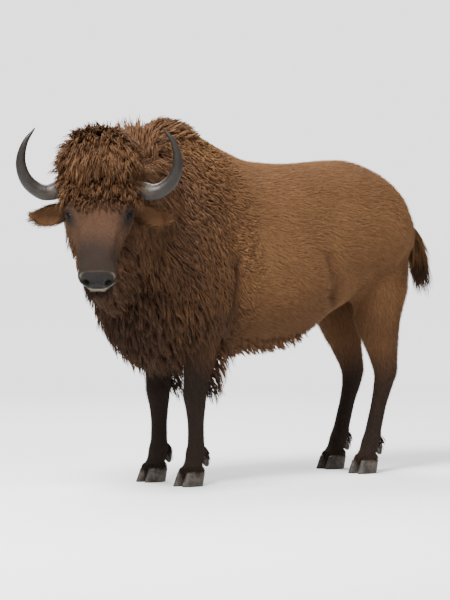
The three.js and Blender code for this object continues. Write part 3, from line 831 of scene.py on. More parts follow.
@dataclass(frozen=True)
class Markings:
    """How dark the coat is, painted fold shade included, where it is pale and where it is bare."""

    body: float = 0.4
    mane: float = 0.24  # this and the others are added to the body's
    hump: float = -0.13
    underside: float = 0.12
    # painted shade: how much darker the coat is made in the folds behind the elbow and before the
    # thigh
    folds: float = 0.16
    shanks: float = 0.4
    tail: float = 0.5
    beard: float = 0.12
    head: float = 0.3
    muzzle: float = 0.28
    brow: float = -0.08
    eyes: float = 0.42
    ears: float = -0.17

    def at(self, points: Array) -> tuple[Array, Array, Array]:
        """The markings, with painted fold shade, at these places.

        Args:
            points: places in the modeller's axes.

        Returns:
            The darkness, the paleness and the bareness, each 0 to 1.
        """
        h = HEAD.into(points)
        x, y, z = h.T
        on_head = smooth(-60, 60, x) * smooth(215, 165, np.abs(y))
        on_head = on_head * smooth(-230, -150, z) * smooth(260, 200, z)
        rim = smooth(515, 560, x) * smooth(6, -16, z)
        rim += 0.3 * smooth(548, 566, x) * smooth(20, 40, z)
        pale = on_head * np.clip(rim, 0, 1) * smooth(-118, -96, z)
        pad = ((x - 592) / 48) ** 2 + (y / (74 + 0.2 * z)) ** 4 + ((z - 20) / 46) ** 4
        lips = np.exp(-(((z + 36) / 8) ** 2)) * smooth(470, 500, x)
        bare = np.clip(smooth(1.15, 0.85, pad) + 0.7 * lips, 0, 1) * on_head
        for side in BOTH:
            local = EyeAxes.of(side).into(points)
            ring = np.hypot(local[:, 0] / 22, local[:, 1] / 15)
            bare = np.maximum(bare, smooth(1.1, 0.95, ring) * (local[:, 2] > 0))
        dark = self._dark(points, h, on_head)
        return np.clip(dark, 0, 1), np.clip(pale, 0, 1), np.clip(bare, 0, 1)

    def _dark(self, points: Array, h: Array, on_head: Array) -> Array:
        """How dark the coat is, with painted shade in the folds.

        Args:
            points: places in the modeller's axes.
            h: the same places in the head's axes.
            on_head: 1 on the head, fading to 0 off it.

        Returns:
            The darkness at each place.
        """
        x, _, z = points.T
        hx, hy, hz = h[:, 0], np.abs(h[:, 1]), h[:, 2]
        dark = self.body + self.mane * smooth(-60, -560, x) * (1 - on_head)
        dark += self.hump * smooth(1480, 1700, z) * smooth(-760, -560, x) * smooth(60, -150, x)
        # painted shade: the coat is made darker in the folds behind the elbow and before the thigh
        dark += self.underside * smooth(980, 720, z) + self.folds * fold_shade(points)
        dark += self.shanks * smooth(690, 430, z)
        dark += self.tail * (smooth(1140, 1190, x) * smooth(1250, 1080, z))
        beard = smooth(-560, -700, x) * smooth(1180, 900, z)
        dark += self.beard * beard * (1 - on_head)
        face = self.head + self.muzzle * smooth(270, 520, hx) + self.brow * smooth(200, 60, hx)
        eyes = np.zeros(len(points))
        for side in BOTH:
            off = (h - eye_place(side)) / (46, 50, 34)
            eyes = np.maximum(eyes, np.exp(-(off**2).sum(-1)))
        dark += on_head * (face + self.eyes * eyes)
        ears = smooth(165, 200, hy) * smooth(30, 70, hx) * smooth(215, 180, hx)
        return dark + self.ears * (ears * (smooth(-150, -110, hz) * smooth(120, 80, hz)))


def eye_place(side: float) -> Array:
    """The middle of an eye, in the head's axes."""
    return np.array([232.0, -side * 131.0, 58.0])


class EyeAxes:
    """An eye's axes: x to its inner corner, y up, z out of the head."""

    OUT = np.array([0.3, -0.68, 0.66])  # for the right eye
    SLANT = math.radians(-28)
    SUNK = 5.0  # how far the ball sits behind the middle of its solid

    @classmethod
    def of(cls, side: float) -> Axes:
        """The axes of the eye on a side.

        Args:
            side: -1 for the left eye, 1 for the right.

        Returns:
            The axes, at the middle of the eyeball.
        """
        out = unit(HEAD.turn(on_side(cls.OUT, side)))
        inner = HEAD.turn([1.0, 0.0, 0.0])
        inner = unit(inner - out * inner.dot(out))
        rise = np.cross(out, inner)
        rise = rise * (1.0 if rise.dot(HEAD.rows[2]) > 0 else -1.0)
        c, s = math.cos(cls.SLANT), math.sin(cls.SLANT)
        rows = np.array([inner * c - rise * s, rise * c + inner * s, out])
        return Axes(HEAD.out(eye_place(side)) - out * cls.SUNK, rows)


MARKINGS_AND_FOLD_SHADE = Markings()


# ------------------------------------------------------------------ the skin
@dataclass(frozen=True)
class Dent:
    """A soft hollow or ridge, in the axes of what it shapes."""

    at: Iterable[float]
    reach: tuple[float, float, float]
    height: float  # how far it lifts the skin; below 0 it sinks

    def on(self, side: float) -> "Dent":
        """This dent, given for the right side, on a side."""
        return Dent(on_side(self.at, side), self.reach, self.height)

    def rise(self, local: Array) -> Array:
        """How far it lifts the skin at points in its own axes."""
        off = (local - np.array(self.at)) / np.array(self.reach)
        return self.height * np.exp(-(off**2).sum(-1))


def groove(start: Place, end: Place, width: float, height: float) -> list[Dent]:
    """A soft ridge or furrow from one place to another.

    Args:
        start: its first end.
        end: its other end.
        width: its reach to each side.
        height: how far it lifts the skin; below 0 it sinks.

    Returns:
        The row of dents that makes it.
    """
    a, b = np.array(start, float), np.array(end, float)
    count = max(2, int(np.linalg.norm(b - a) / width) + 1)
    share = height / 1.77  # neighbours a width apart add up to this much more
    return [Dent(mix(a, b, t), (width,) * 3, share) for t in np.linspace(0, 1, count)]


def grooves(*rows: tuple[Place, Place, float, float]) -> list[Dent]:
    """Several grooves: the two ends, the width and the height of each."""
    return [dent for row in rows for dent in groove(*row)]


def risen(dents: list[Dent], points: Array) -> Array:
    """How far all the dents together lift each point."""
    return sum((dent.rise(points) for dent in dents), np.zeros(len(points)))


BODY_RELIEF = [
    *on_each_side(
        *grooves(
            (*ELBOW_FOLD[:2], 62, -13),
            (*ELBOW_FOLD[1:], 36, -36),
            (*FLANK_FOLD[:2], 36, -34),
            (*FLANK_FOLD[1:], 36, -38),
            ((1020, 250, 1330), (950, 275, 960), 46, -16),  # the thigh
            ((-300, 300, 960), (-420, 300, 830), 44, -8),  # the upper arm
        ),
        Dent((470, 300, 1400), (150, 110, 95), -20),  # the flank's hollow
        Dent((640, 250, 1490), (80, 80, 60), 10),  # the hip bone
        Dent((-330, 330, 880), (90, 90, 90), 8),  # the elbow
        *grooves(  # the ribs
            *(((x - 30, 372, 1280), (x + 46, 350, 820), 30, -3.5) for x in (-60, 40, 140, 240))
        ),
    ),
    *groove((1150, 0, 1330), (1120, 0, 1060), 40, -14),
]
FACE_RELIEF = [
    *on_each_side(
        *grooves(  # the head's y is to its left
            ((262, -125, 18), (450, -92, -4), 20, 6),
            ((250, -118, 92), (420, -64, 66), 24, 4),
            ((300, -98, 52), (470, -75, 40), 18, -5),
            ((190, -160, 92), (266, -130, 98), 13, 6),
            ((178, -160, 74), (246, -136, 80), 6, -3.5),
            ((200, -156, 20), (262, -132, 20), 6, -3.5),
            ((212, -150, 6), (275, -122, 8), 6, -2.5),
            ((268, -122, 50), (296, -110, 36), 6, -4),
            ((500, -92, -22), (560, -86, -26), 10, 4),
            ((508, -90, 8), (540, -92, 30), 7, -3),
            ((498, -84, 40), (525, -86, 50), 7, -2.5),
        )
    ),
    *grooves(((598, 0, -24), (604, 0, 26), 5, -4), ((300, 0, 92), (480, 0, 74), 22, -3)),
]


@dataclass(frozen=True)
class HeadRelief:
    """The fine forms of the face: lids, nostrils, lips and the folds of the skin."""

    lip_z: float = -36.0
    lip_height: float = 4.0
    lip_apart: float = 13.0  # from the line of the mouth to the fullest of each lip
    lip_width: float = 8.0
    mouth_depth: float = 8.0
    mouth_width: float = 3.6
    corner_rise: float = 5.0  # how much higher the mouth's corners are
    nostril_at: Place = (591.0, -52.0, 20.0)  # the right one; y is to the head's left
    nostril_out: Place = (0.86, -0.5, 0.1)
    nostril_up: Place = (-0.05, 0.42, 1.0)
    nostril_half: tuple[float, float] = (17.0, 11.0)
    nostril_depth: float = 19.0
    wing: float = 5.5  # how high the nostril's rim stands
    wing_ring: tuple[float, float] = (1.45, 0.4)  # where it lies, over the hole, and its width
    lid: float = 2.8  # its thickness
    opening: tuple[float, float] = (20.0, 13.0)  # half the sizes of that between the lids
    orbit: float = 7.0  # how softly the lids run into the face
    lid_reach: tuple[float, float] = (60.0, 40.0)  # from the eye to where they end, and fade
    lid_back: float = -34.0  # the lids take only what lies ahead of this
    # where each ring round the eye lies, over the opening, its width and its height
    creases: tuple[Place, ...] = ((1.2, 0.16, 1.6), (1.62, 0.17, -2.6), (2.15, 0.16, -1.4))

    def shaped(self, points: Array, normals: Array, detail: Array) -> Array:
        """The head's points with their relief.

        Args:
            points: the skin's points.
            normals: the ways out at them.
            detail: how much of the relief each point takes, 0 to 1.

        Returns:
            The new points.
        """
        near = np.flatnonzero(detail > 0)
        local = HEAD.into(points[near])
        rise = risen(FACE_RELIEF, local) + self._mouth(local)
        points = points.copy()
        points[near] += normals[near] * (rise * detail[near])[:, None]
        for side in BOTH:
            points = self._lids(self._nostril(points, side), side)
        return points

    def _mouth(self, local: Array) -> Array:
        """How far the line of the mouth and the lips lift the skin.

        Args:
            local: the skin's points in the head's axes.

        Returns:
            The rise at each.
        """
        x, _, z = local.T
        off = z - (self.lip_z + self.corner_rise * smooth(560, 470, x))
        furrow = -self.mouth_depth * np.exp(-((off / self.mouth_width) ** 2))
        beside = (-self.lip_apart, self.lip_apart)
        upper, lower = (np.exp(-(((off + s) / self.lip_width) ** 2)) for s in beside)
        lips = self.lip_height * upper + self.lip_height * lower
        return smooth(455, 500, x) * (furrow + lips)

    def _nostril(self, points: Array, side: float) -> Array:
        """The skin with a nostril sunk in it.

        Args:
            points: the skin's points.
            side: the side that the nostril is on.

        Returns:
            The new points.
        """
        out, rise = (unit(on_side(way, side)) for way in (self.nostril_out, self.nostril_up))
        rise = unit(rise - out * rise.dot(out))
        rows = np.array([np.cross(rise, out), rise, out])
        a, b, c = Axes(on_side(self.nostril_at, side), rows).into(HEAD.into(points)).T
        ring = np.hypot(a / self.nostril_half[0], (b + 0.012 * a * a) / self.nostril_half[1])
        hole = -self.nostril_depth * smooth(1.05, 0.55, ring)
        place, width = self.wing_ring
        wing = self.wing * np.exp(-(((ring - place) / width) ** 2))
        return points + HEAD.turn(out) * ((hole + wing) * smooth(60, 25, np.abs(c)))[:, None]

    def _lids(self, points: Array, side: float) -> Array:
        """The skin drawn over an eyeball, with an almond opening between its lids.

        Args:
            points: the skin's points.
            side: the side that the eye is on.

        Returns:
            The new points.
        """
        axes = EyeAxes.of(side)
        local = axes.into(points)
        a, b, c = local.T
        away = np.hypot(a, b)
        near = (away < self.lid_reach[0]) & (c > self.lid_back)
        ring = np.hypot(a / self.opening[0], (b + 0.006 * a * a) / self.opening[1])
        ball = np.sqrt(np.maximum(EYE_R**2 - a * a - b * b, 0))
        cover = EYE_R + self.lid
        limb = 0.86 * cover  # beyond this the lids fall away in a straight slope
        dome = np.sqrt(np.maximum(cover**2 - np.minimum(away, limb) ** 2, 0))
        dome -= np.maximum(away - limb, 0) * 1.3
        over = (c + dome + np.sqrt((c - dome) ** 2 + self.orbit**2)) / 2
        above = np.where(b > 0, 1.0, 0.7)
        for place, width, height in self.creases:
            over += height * np.exp(-(((ring - place) / width) ** 2)) * above
        drawn = mix(c, over, smooth(*self.lid_reach, away))
        drawn = mix(drawn, np.minimum(drawn, ball - 4), smooth(1.04, 0.96, ring))
        local[:, 2] = np.where(near, drawn, c)
        return np.where(near[:, None], axes.out(local), points)


@dataclass
class Skin:
    """One skin over all the flesh, which lies inside it by the depth of the coat."""

    flesh: Flesh
    cell: float = 12.6  # the size of the skin's faces over the body
    body_depth: float = 13.0  # the coat's depth over the body
    face_depth: float = 5.0
    shank_depth: float = 6.0
    blending: int = 22  # rounds of evening out where the forms meet
    evening: int = 8  # and over the finer faces of the head
    head_held: float = 0.9  # how much of the blending the head is spared
    shank_blended: float = 0.35  # how much of it the shanks and the dock take
    dock_blended: float = 0.4
    piece: Object | None = None

    def build(self) -> None:
        """Casts the skin over the forms, blends where they meet, and shapes the head."""
        self.piece = new_object("skin", self.flesh.mesh)
        remesh = self.piece.modifiers.new("cast", "REMESH")
        remesh.mode, remesh.voxel_size = "VOXEL", self.cell * MM
        bpy.context.view_layer.update()
        graph = bpy.context.evaluated_depsgraph_get()
        data = bpy.data.meshes.new_from_object(self.piece.evaluated_get(graph))
        self.piece.modifiers.clear()
        old, self.piece.data = self.piece.data, data
        bpy.data.meshes.remove(old)
        self._blend()
        self._refine(self._head_region, "head")
        self._refine(self._fine_region, "eyes and muzzle")
        self._even_head()
        points = points_of(data)
        sunk = self.depth(points) - risen(BODY_RELIEF, points)
        points = points - normals_of(data) * sunk[:, None]
        move_points(data, points)
        detail = self.on_head(points)
        move_points(data, HeadRelief().shaped(points_of(data), normals_of(data), detail))
        self._join_ears()
        shade(data, True)

    def _blend(self) -> None:
        """Runs the trunk, neck, legs and dock into one another."""
        data = self.piece.data
        points = points_of(data)
        share = 1 - self.head_held * self.on_head(points)
        share *= mix(self.shank_blended, 1.0, smooth(420, 700, points[:, 2]))
        dock = smooth(1120, 1180, points[:, 0]) * smooth(1360, 1290, points[:, 2])
        share *= mix(1.0, self.dock_blended, dock)
        move_points(data, relaxed(points, edges_of(data), share, self.blending))

    @staticmethod
    def on_head(points: Array) -> Array:
        """1 on the head ahead of the ears, fading to 0 into the neck."""
        x, y, z = HEAD.into(points).T
        return smooth(70, 130, x) * smooth(220, 180, np.abs(y)) * smooth(-210, -150, z)

    @staticmethod
    def _head_region(points: Array) -> Array:
        """Where the skin's faces are halved: the head and the muzzle."""
        x, y, z = HEAD.into(points).T
        return (x > 60) & (np.abs(y) < 230) & (z > -200) & (z < 190)

    @staticmethod
    def _fine_region(points: Array) -> Array:
        """Where the skin's faces are halved again.

        Args:
            points: the skin's points.

        Returns:
            True round the eyes and over the muzzle.
        """
        h = HEAD.into(points)
        near = (h[:, 0] > 455) & (np.abs(h[:, 1]) < 130) & (np.abs(h[:, 2]) < 130)
        for side in BOTH:
            near |= np.linalg.norm(h - eye_place(side), axis=1) < 62
        return near

    def _refine(self, region: Callable[[Array], Array], name: str) -> None:
        """Halves the faces in a region.

        Args:
            region: tells which points are in it.
            name: what to call it in the log.
        """
        data = self.piece.data
        chosen = region(points_of(data))
        mesh = bmesh.new()
        mesh.from_mesh(data)
        edges = [e for e in mesh.edges if all(chosen[v.index] for v in e.verts)]
        bmesh.ops.subdivide_edges(mesh, edges=edges, cuts=1, use_grid_fill=True)
        bmesh.ops.triangulate(mesh, faces=[f for f in mesh.faces if len(f.verts) > 4])
        mesh.to_mesh(data)
        mesh.free()
        log.info("skin: %s refined to %d faces", name, len(data.polygons))

    def _even_head(self) -> None:
        """Rounds the head's finer faces."""
        data = self.piece.data
        points = points_of(data)
        share = self._head_region(points).astype(float)
        move_points(data, relaxed(points, edges_of(data), share, self.evening))

    def _join_ears(self) -> None:
        """Adds the ears to the skin, their roots sunk in the head."""
        ears = new_object("ears", self.flesh.ears)
        mesh, spare = bmesh.new(), ears.data
        mesh.from_mesh(self.piece.data)
        mesh.from_mesh(spare)
        mesh.to_mesh(self.piece.data)
        mesh.free()
        bpy.data.objects.remove(ears)
        bpy.data.meshes.remove(spare)

    def depth(self, points: Array) -> Array:
        """How deep the coat is.

        Args:
            points: places in the modeller's axes.

        Returns:
            The depth at each place.
        """
        deep = mix(self.shank_depth, self.body_depth, smooth(420, 760, points[:, 2]))
        deep = mix(deep, self.face_depth, self.on_head(points))
        for side in BOTH:
            off = np.linalg.norm(points - HEAD.out(eye_place(side)), axis=1)
            deep = deep * mix(0.15, 1.0, smooth(35, 95, off))
        return mix(deep, self.shank_depth, smooth(1120, 1190, points[:, 0]))

    def dress(self, hide: Material) -> None:
        """Gives the skin markings, painted fold shade and finish, and puts it in the flesh's place.

        Args:
            hide: the skin's finish.
        """
        data = self.piece.data
        points = points_of(data)
        for name, values in zip(("dark", "pale", "bare"), MARKINGS_AND_FOLD_SHADE.at(points)):
            set_values(data, name, values)
        set_values(data, "upright", smooth(760, 560, points[:, 2]))
        data.materials.clear()
        data.materials.append(hide)
        nodes = ["head", "neck", "chest", "barrel", "rump", "tail_dock", "tail_tuft"]
        for side in SIDES:
            nodes += [f"ear_{side}"]
            nodes += [f"{k}leg_{p}_{side}" for k in ("fore", "hind") for p in ("upper", "lower")]
        settle(self.piece, "coat", nodes)


def settle(piece: Object, slot: str, nodes: Iterable[str] = ()) -> None:
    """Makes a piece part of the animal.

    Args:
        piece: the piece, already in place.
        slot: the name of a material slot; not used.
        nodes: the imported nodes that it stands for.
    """
    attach(piece, "root")
    if nodes:
        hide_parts(*nodes)
    log.info("%s: %d faces", piece.name, len(piece.data.polygons))


# ------------------------------------------------------------------ tufts
PATCH = 0.003  # a tuft's size on the unwrap
SLIM = 0.86  # the width of the long hair's tufts over that given in its patches
EYE_CLEARING = (70.0, 50.0, 50.0)  # what the long hair leaves clear, in the head's axes
TIP_SHAPE = Profile((0, 0.62), (0.35, 1), (0.7, 0.8), (1, 0.05))
RISE_SHAPE = Profile((0, 0), (0.33, 0.8), (0.67, 1), (1, 0.55))
REACH_SHAPE = Profile((0, 0), (0.33, 0.22), (0.67, 0.62), (1, 1))


@dataclass(frozen=True)
class Cut:
    """How a kind of hair grows, apart from each tuft's own size."""

    bands: int = 2  # rings before the tip
    sides: int = 3
    flat: float = 0.45  # thickness over width
    lift: float = 0.24  # how high a tuft stands, over its length
    sink: float = 5.0  # how deep its root goes
    curl: float = 0.12  # how far it bends aside, over its length
    wave: float = 0.0  # how far it waves, over its length
    waves: float = 1.6
    gather: float = 0.0  # how far the tufts of a lock close up at its tip
    fall: float = 0.0  # how far it sags, over its length


@dataclass
class Roots:
    """Where tufts grow: one row for each tuft."""

    at: Array
    out: Array
    lie: Array
    length: Array
    width: Array
    chart: Array  # the root's place on the unwrap, 0 to 1 each way
    tone: Array  # lighter above 0, darker below
    turn: Array  # where in its wave the tuft starts, 0 to 1
    aside: Array  # the root's place beside its lock's middle, in millimetres

    @staticmethod
    def joined(parts: list["Roots"]) -> "Roots":
        """Several sets of roots as one."""
        return Roots(*map(np.concatenate, zip(*(vars(p).values() for p in parts))))

    def kept(self, chosen: Array) -> "Roots":
        """Only the chosen roots."""
        return Roots(*(values[chosen] for values in vars(self).values()))


def tufts(roots: Roots, cut: Cut, s: Array) -> Array:
    """The points of the tufts: rings round each one's line, and its tip.

    Args:
        roots: where the tufts grow.
        cut: how they grow.
        s: where along them the rings and the tip are, 0 to 1.

    Returns:
        The points, a row for each tuft.
    """
    k = cut.bands
    side = unit(np.cross(roots.lie, roots.out))
    length = roots.length[:, None]
    up = cut.lift * length * RISE_SHAPE(s) - cut.sink * (1 - s) ** 5
    along = length * REACH_SHAPE(s)
    turn = math.tau * (cut.waves * s[None, :] + roots.turn[:, None])
    bend = cut.curl * np.sin(math.tau * roots.turn)[:, None] * s**2
    across = length * (bend + cut.wave * np.sin(turn) * s)
    up = up + length * cut.wave * 0.5 * np.cos(turn) * s
    line = (
        roots.at[:, None, :]
        + roots.out[:, None, :] * up[..., None]
        + roots.lie[:, None, :] * along[..., None]
        + side[:, None, :] * across[..., None]
        + roots.aside[:, None, :] * (1 - cut.gather * s**0.8)[None, :, None]
        - UP * (cut.fall * length * s**2)[..., None]
    )
    way = unit(np.gradient(line, axis=1))
    broad = unit(side[:, None, :] - way * (side[:, None, :] * way).sum(-1, keepdims=True))
    thick = np.cross(way, broad)
    half = (roots.width[:, None] / 2 * TIP_SHAPE(s))[:, :k, None]
    angle = (np.arange(cut.sides) + 0.25) / cut.sides * math.tau
    rings = (
        line[:, :k, None, :]
        + broad[:, :k, None, :] * (half * np.cos(angle))[..., None]
        + thick[:, :k, None, :] * (half * cut.flat * np.sin(angle))[..., None]
    )
    return np.concatenate([rings.reshape(len(line), -1, 3), line[:, -1:]], 1)


def tuft_faces(cut: Cut) -> tuple[Array, Array, Array, Array]:
    """The faces of one tuft.

    Args:
        cut: how it grows.

    Returns:
        Its faces with four corners and with three, and where the corners of each lie on
        its chart, counted in sides and bands.
    """
    k, sides = cut.bands, cut.sides
    quads, tris, quad_map, tri_map = [], [], [], []
    for j in range(sides):
        after, top = (j + 1) % sides, (k - 1) * sides
        for b in range(k - 1):
            low, high = b * sides, (b + 1) * sides
            quads.append([low + j, low + after, high + after, high + j])
            quad_map.append([(j, b), (j + 1, b), (j + 1, b + 1), (j, b + 1)])
        tris.append([top + j, top + after, k * sides])
        tri_map.append([(j, k - 1), (j + 1, k - 1), (j + 0.5, k)])
    for j in range(1, sides - 1):
        tris.append([0, j + 1, j])
        tri_map.append([(0, 0), (j + 1, 0), (j, 0)])
    four, three = np.array(quads, int).reshape(-1, 4), np.array(tris, int)
    return four, three, np.array(quad_map, float), np.array(tri_map, float)


def grown(name: str, roots: Roots, cut: Cut, material: Material) -> Object:
    """A piece of coat: a closed, tapered tuft on each root, joined in one mesh.

    Args:
        name: the piece's name.
        roots: where the tufts grow.
        cut: how they grow.
        material: the coat's finish.

    Returns:
        The piece, with its markings, painted fold shade and OFBake map.
    """
    s = np.linspace(0, 1, cut.bands + 1)
    points = tufts(roots, cut, s)
    n, per = points.shape[:2]
    starts = (np.arange(n) * per)[:, None, None]
    *faces, quad_map, tri_map = tuft_faces(cut)
    quads, tris = ((f + starts).reshape(-1, f.shape[1]) for f in faces)
    piece = new_object(name, Mesh(points.reshape(-1, 3), quads, tris), material)
    data = piece.data
    if cut.bands == 1:  # its showing side is flat, so that it takes light as the skin does
        shade(data, False)

    scale = np.array([PATCH / cut.sides, PATCH / cut.bands])
    charts = roots.chart[:, None, :] * (1 - 2 * PATCH) + PATCH / 2
    maps = [(charts + m.reshape(1, -1, 2) * scale).reshape(-1, 2) for m in (quad_map, tri_map)]
    layer = data.uv_layers.new(name="OFBake")
    layer.uv.foreach_set("vector", np.vstack(maps).astype(np.float32).ravel())
    layer.active_render = True
    dark, pale, _ = MARKINGS_AND_FOLD_SHADE.at(roots.at)
    pale = pale * smooth(60, 30, roots.length)
    for key, values in (("dark", dark), ("pale", pale), ("tone", roots.tone)):
        set_values(data, key, np.repeat(values, per))
    set_values(data, "tip", np.tile(np.append(np.repeat(s[:-1], cut.sides), 1.0), n))
    return piece


@dataclass(frozen=True)
class Patch:
    """Long hair in staggered rows over a stretch of a form.

    The stretch runs over a share of the form's length and over degrees round it.
    """

    along: tuple[float, float]
    around: tuple[float, float]
    rows: int
    columns: int
    length: float
    width: float  # of one tuft
    spread: float  # half the width of a lock at its root
    lie: Lie
    strands: int = 6
    outward: float = 0.2
    ragged: float = 0.14

    def roots(self, tube: Tube, rng: np.random.Generator) -> Roots:
        """The roots of the patch's locks, each of several tufts.

        Args:
            tube: the form that they grow from.
            rng: the source of their variation.

        Returns:
            The roots, each lock's together.
        """
        row, column = (g.ravel() for g in np.mgrid[: self.rows, : self.columns])
        n = len(row)
        stagger = np.where(row % 2, 0.25, -0.25)
        t = mix(*self.along, (row + 0.5 + rng.uniform(-0.45, 0.45, n)) / self.rows)
        share = (column + 0.5 + stagger + rng.uniform(-0.4, 0.4, n)) / self.columns
        turned = mix(*self.around, share)
        angle = np.radians(turned)
        at, out = tube.point(t, angle), tube.outward(t, angle)
        way = unit(self.lie(out, (t - self.along[0]) / (self.along[1] - self.along[0])))
        way = unit(way + rng.normal(0, self.ragged, (n, 3)))
        up = np.maximum(0, self.outward - (way * out).sum(-1))
        way = unit(way + out * up[:, None])
        length = self.length * (1 + rng.uniform(-0.3, 0.22, n))
        chart = np.stack([(turned / 360) % 1, np.clip(t, 0, 1)], -1)
        tone, turn = rng.normal(0, 0.5, n), rng.uniform(0, 1, n)
        each = np.repeat(np.arange(n), self.strands)
        m = len(each)
        broad = unit(np.cross(way, out))[each]
        offset = broad * rng.uniform(-1, 1, (m, 1)) * self.spread
        offset += way[each] * rng.uniform(-1.2, 0.4, (m, 1)) * self.spread
        offset += out[each] * rng.uniform(-0.4, 0.3, (m, 1)) * self.spread
        return Roots(
            at[each],
            out[each],
            unit(way[each] + rng.normal(0, 0.06, (m, 3))),
            length[each] * (1 + rng.uniform(-0.22, 0.12, m)),
            self.width * SLIM * (1 + rng.uniform(-0.3, 0.3, m)),
            chart[each],
            tone[each] * 0.6 + rng.normal(0, 0.45, m),
            turn[each] + rng.normal(0, 0.05, m),
            offset,
        )


def towards(x: float, y: float, z: float) -> Lie:
    """A lie that is the same way all over a patch."""
    return lambda out, t: np.broadcast_to(np.array([x, y, z], float), out.shape)


def ear_lie(side: float) -> Lie:
    """A lie out along the ear on a side, and a little off it."""
    return lambda out, t: out * 0.2 + HEADING * 0.12 - LEFTWARD * side - UP * 0.15


def horn_lie(side: float) -> Lie:
    """A lie out along the root of a horn and down over it."""
    return lambda out, t: HEADING * 0.1 - LEFTWARD * side * 0.8 - UP * 0.55


def brow_lie(out: Array, t: Array) -> Array:
    """A lie down the forehead, fuller at its top."""
    return out * mix(1.2, 0.05, t[:, None]) + HEAD.turn([1.0, 0.0, 0.0])


def hanging_lie(out: Array, t: Array) -> Array:
    """A lie straight down over the forehead, whatever it grows from."""
    return np.broadcast_to(HEAD.turn([1.0, 0.0, -0.2]), out.shape)


def coronet_lie(out: Array, t: Array) -> Array:
    """A lie down over the top of the hoof."""
    return out * 0.12 - UP


def temple_lie(out: Array, t: Array) -> Array:
    """A lie back over the temples and down behind the ears."""
    return out * 0.1 - HEADING * 0.35 - UP * 0.8


def crown_lie(out: Array, t: Array) -> Array:
    """A lie out of the dome at its back, then down over the forehead."""
    t = t[:, None]
    return out * mix(0.45, 0.3, t) + UP * mix(0.05, -1, t) + HEADING * 0.4


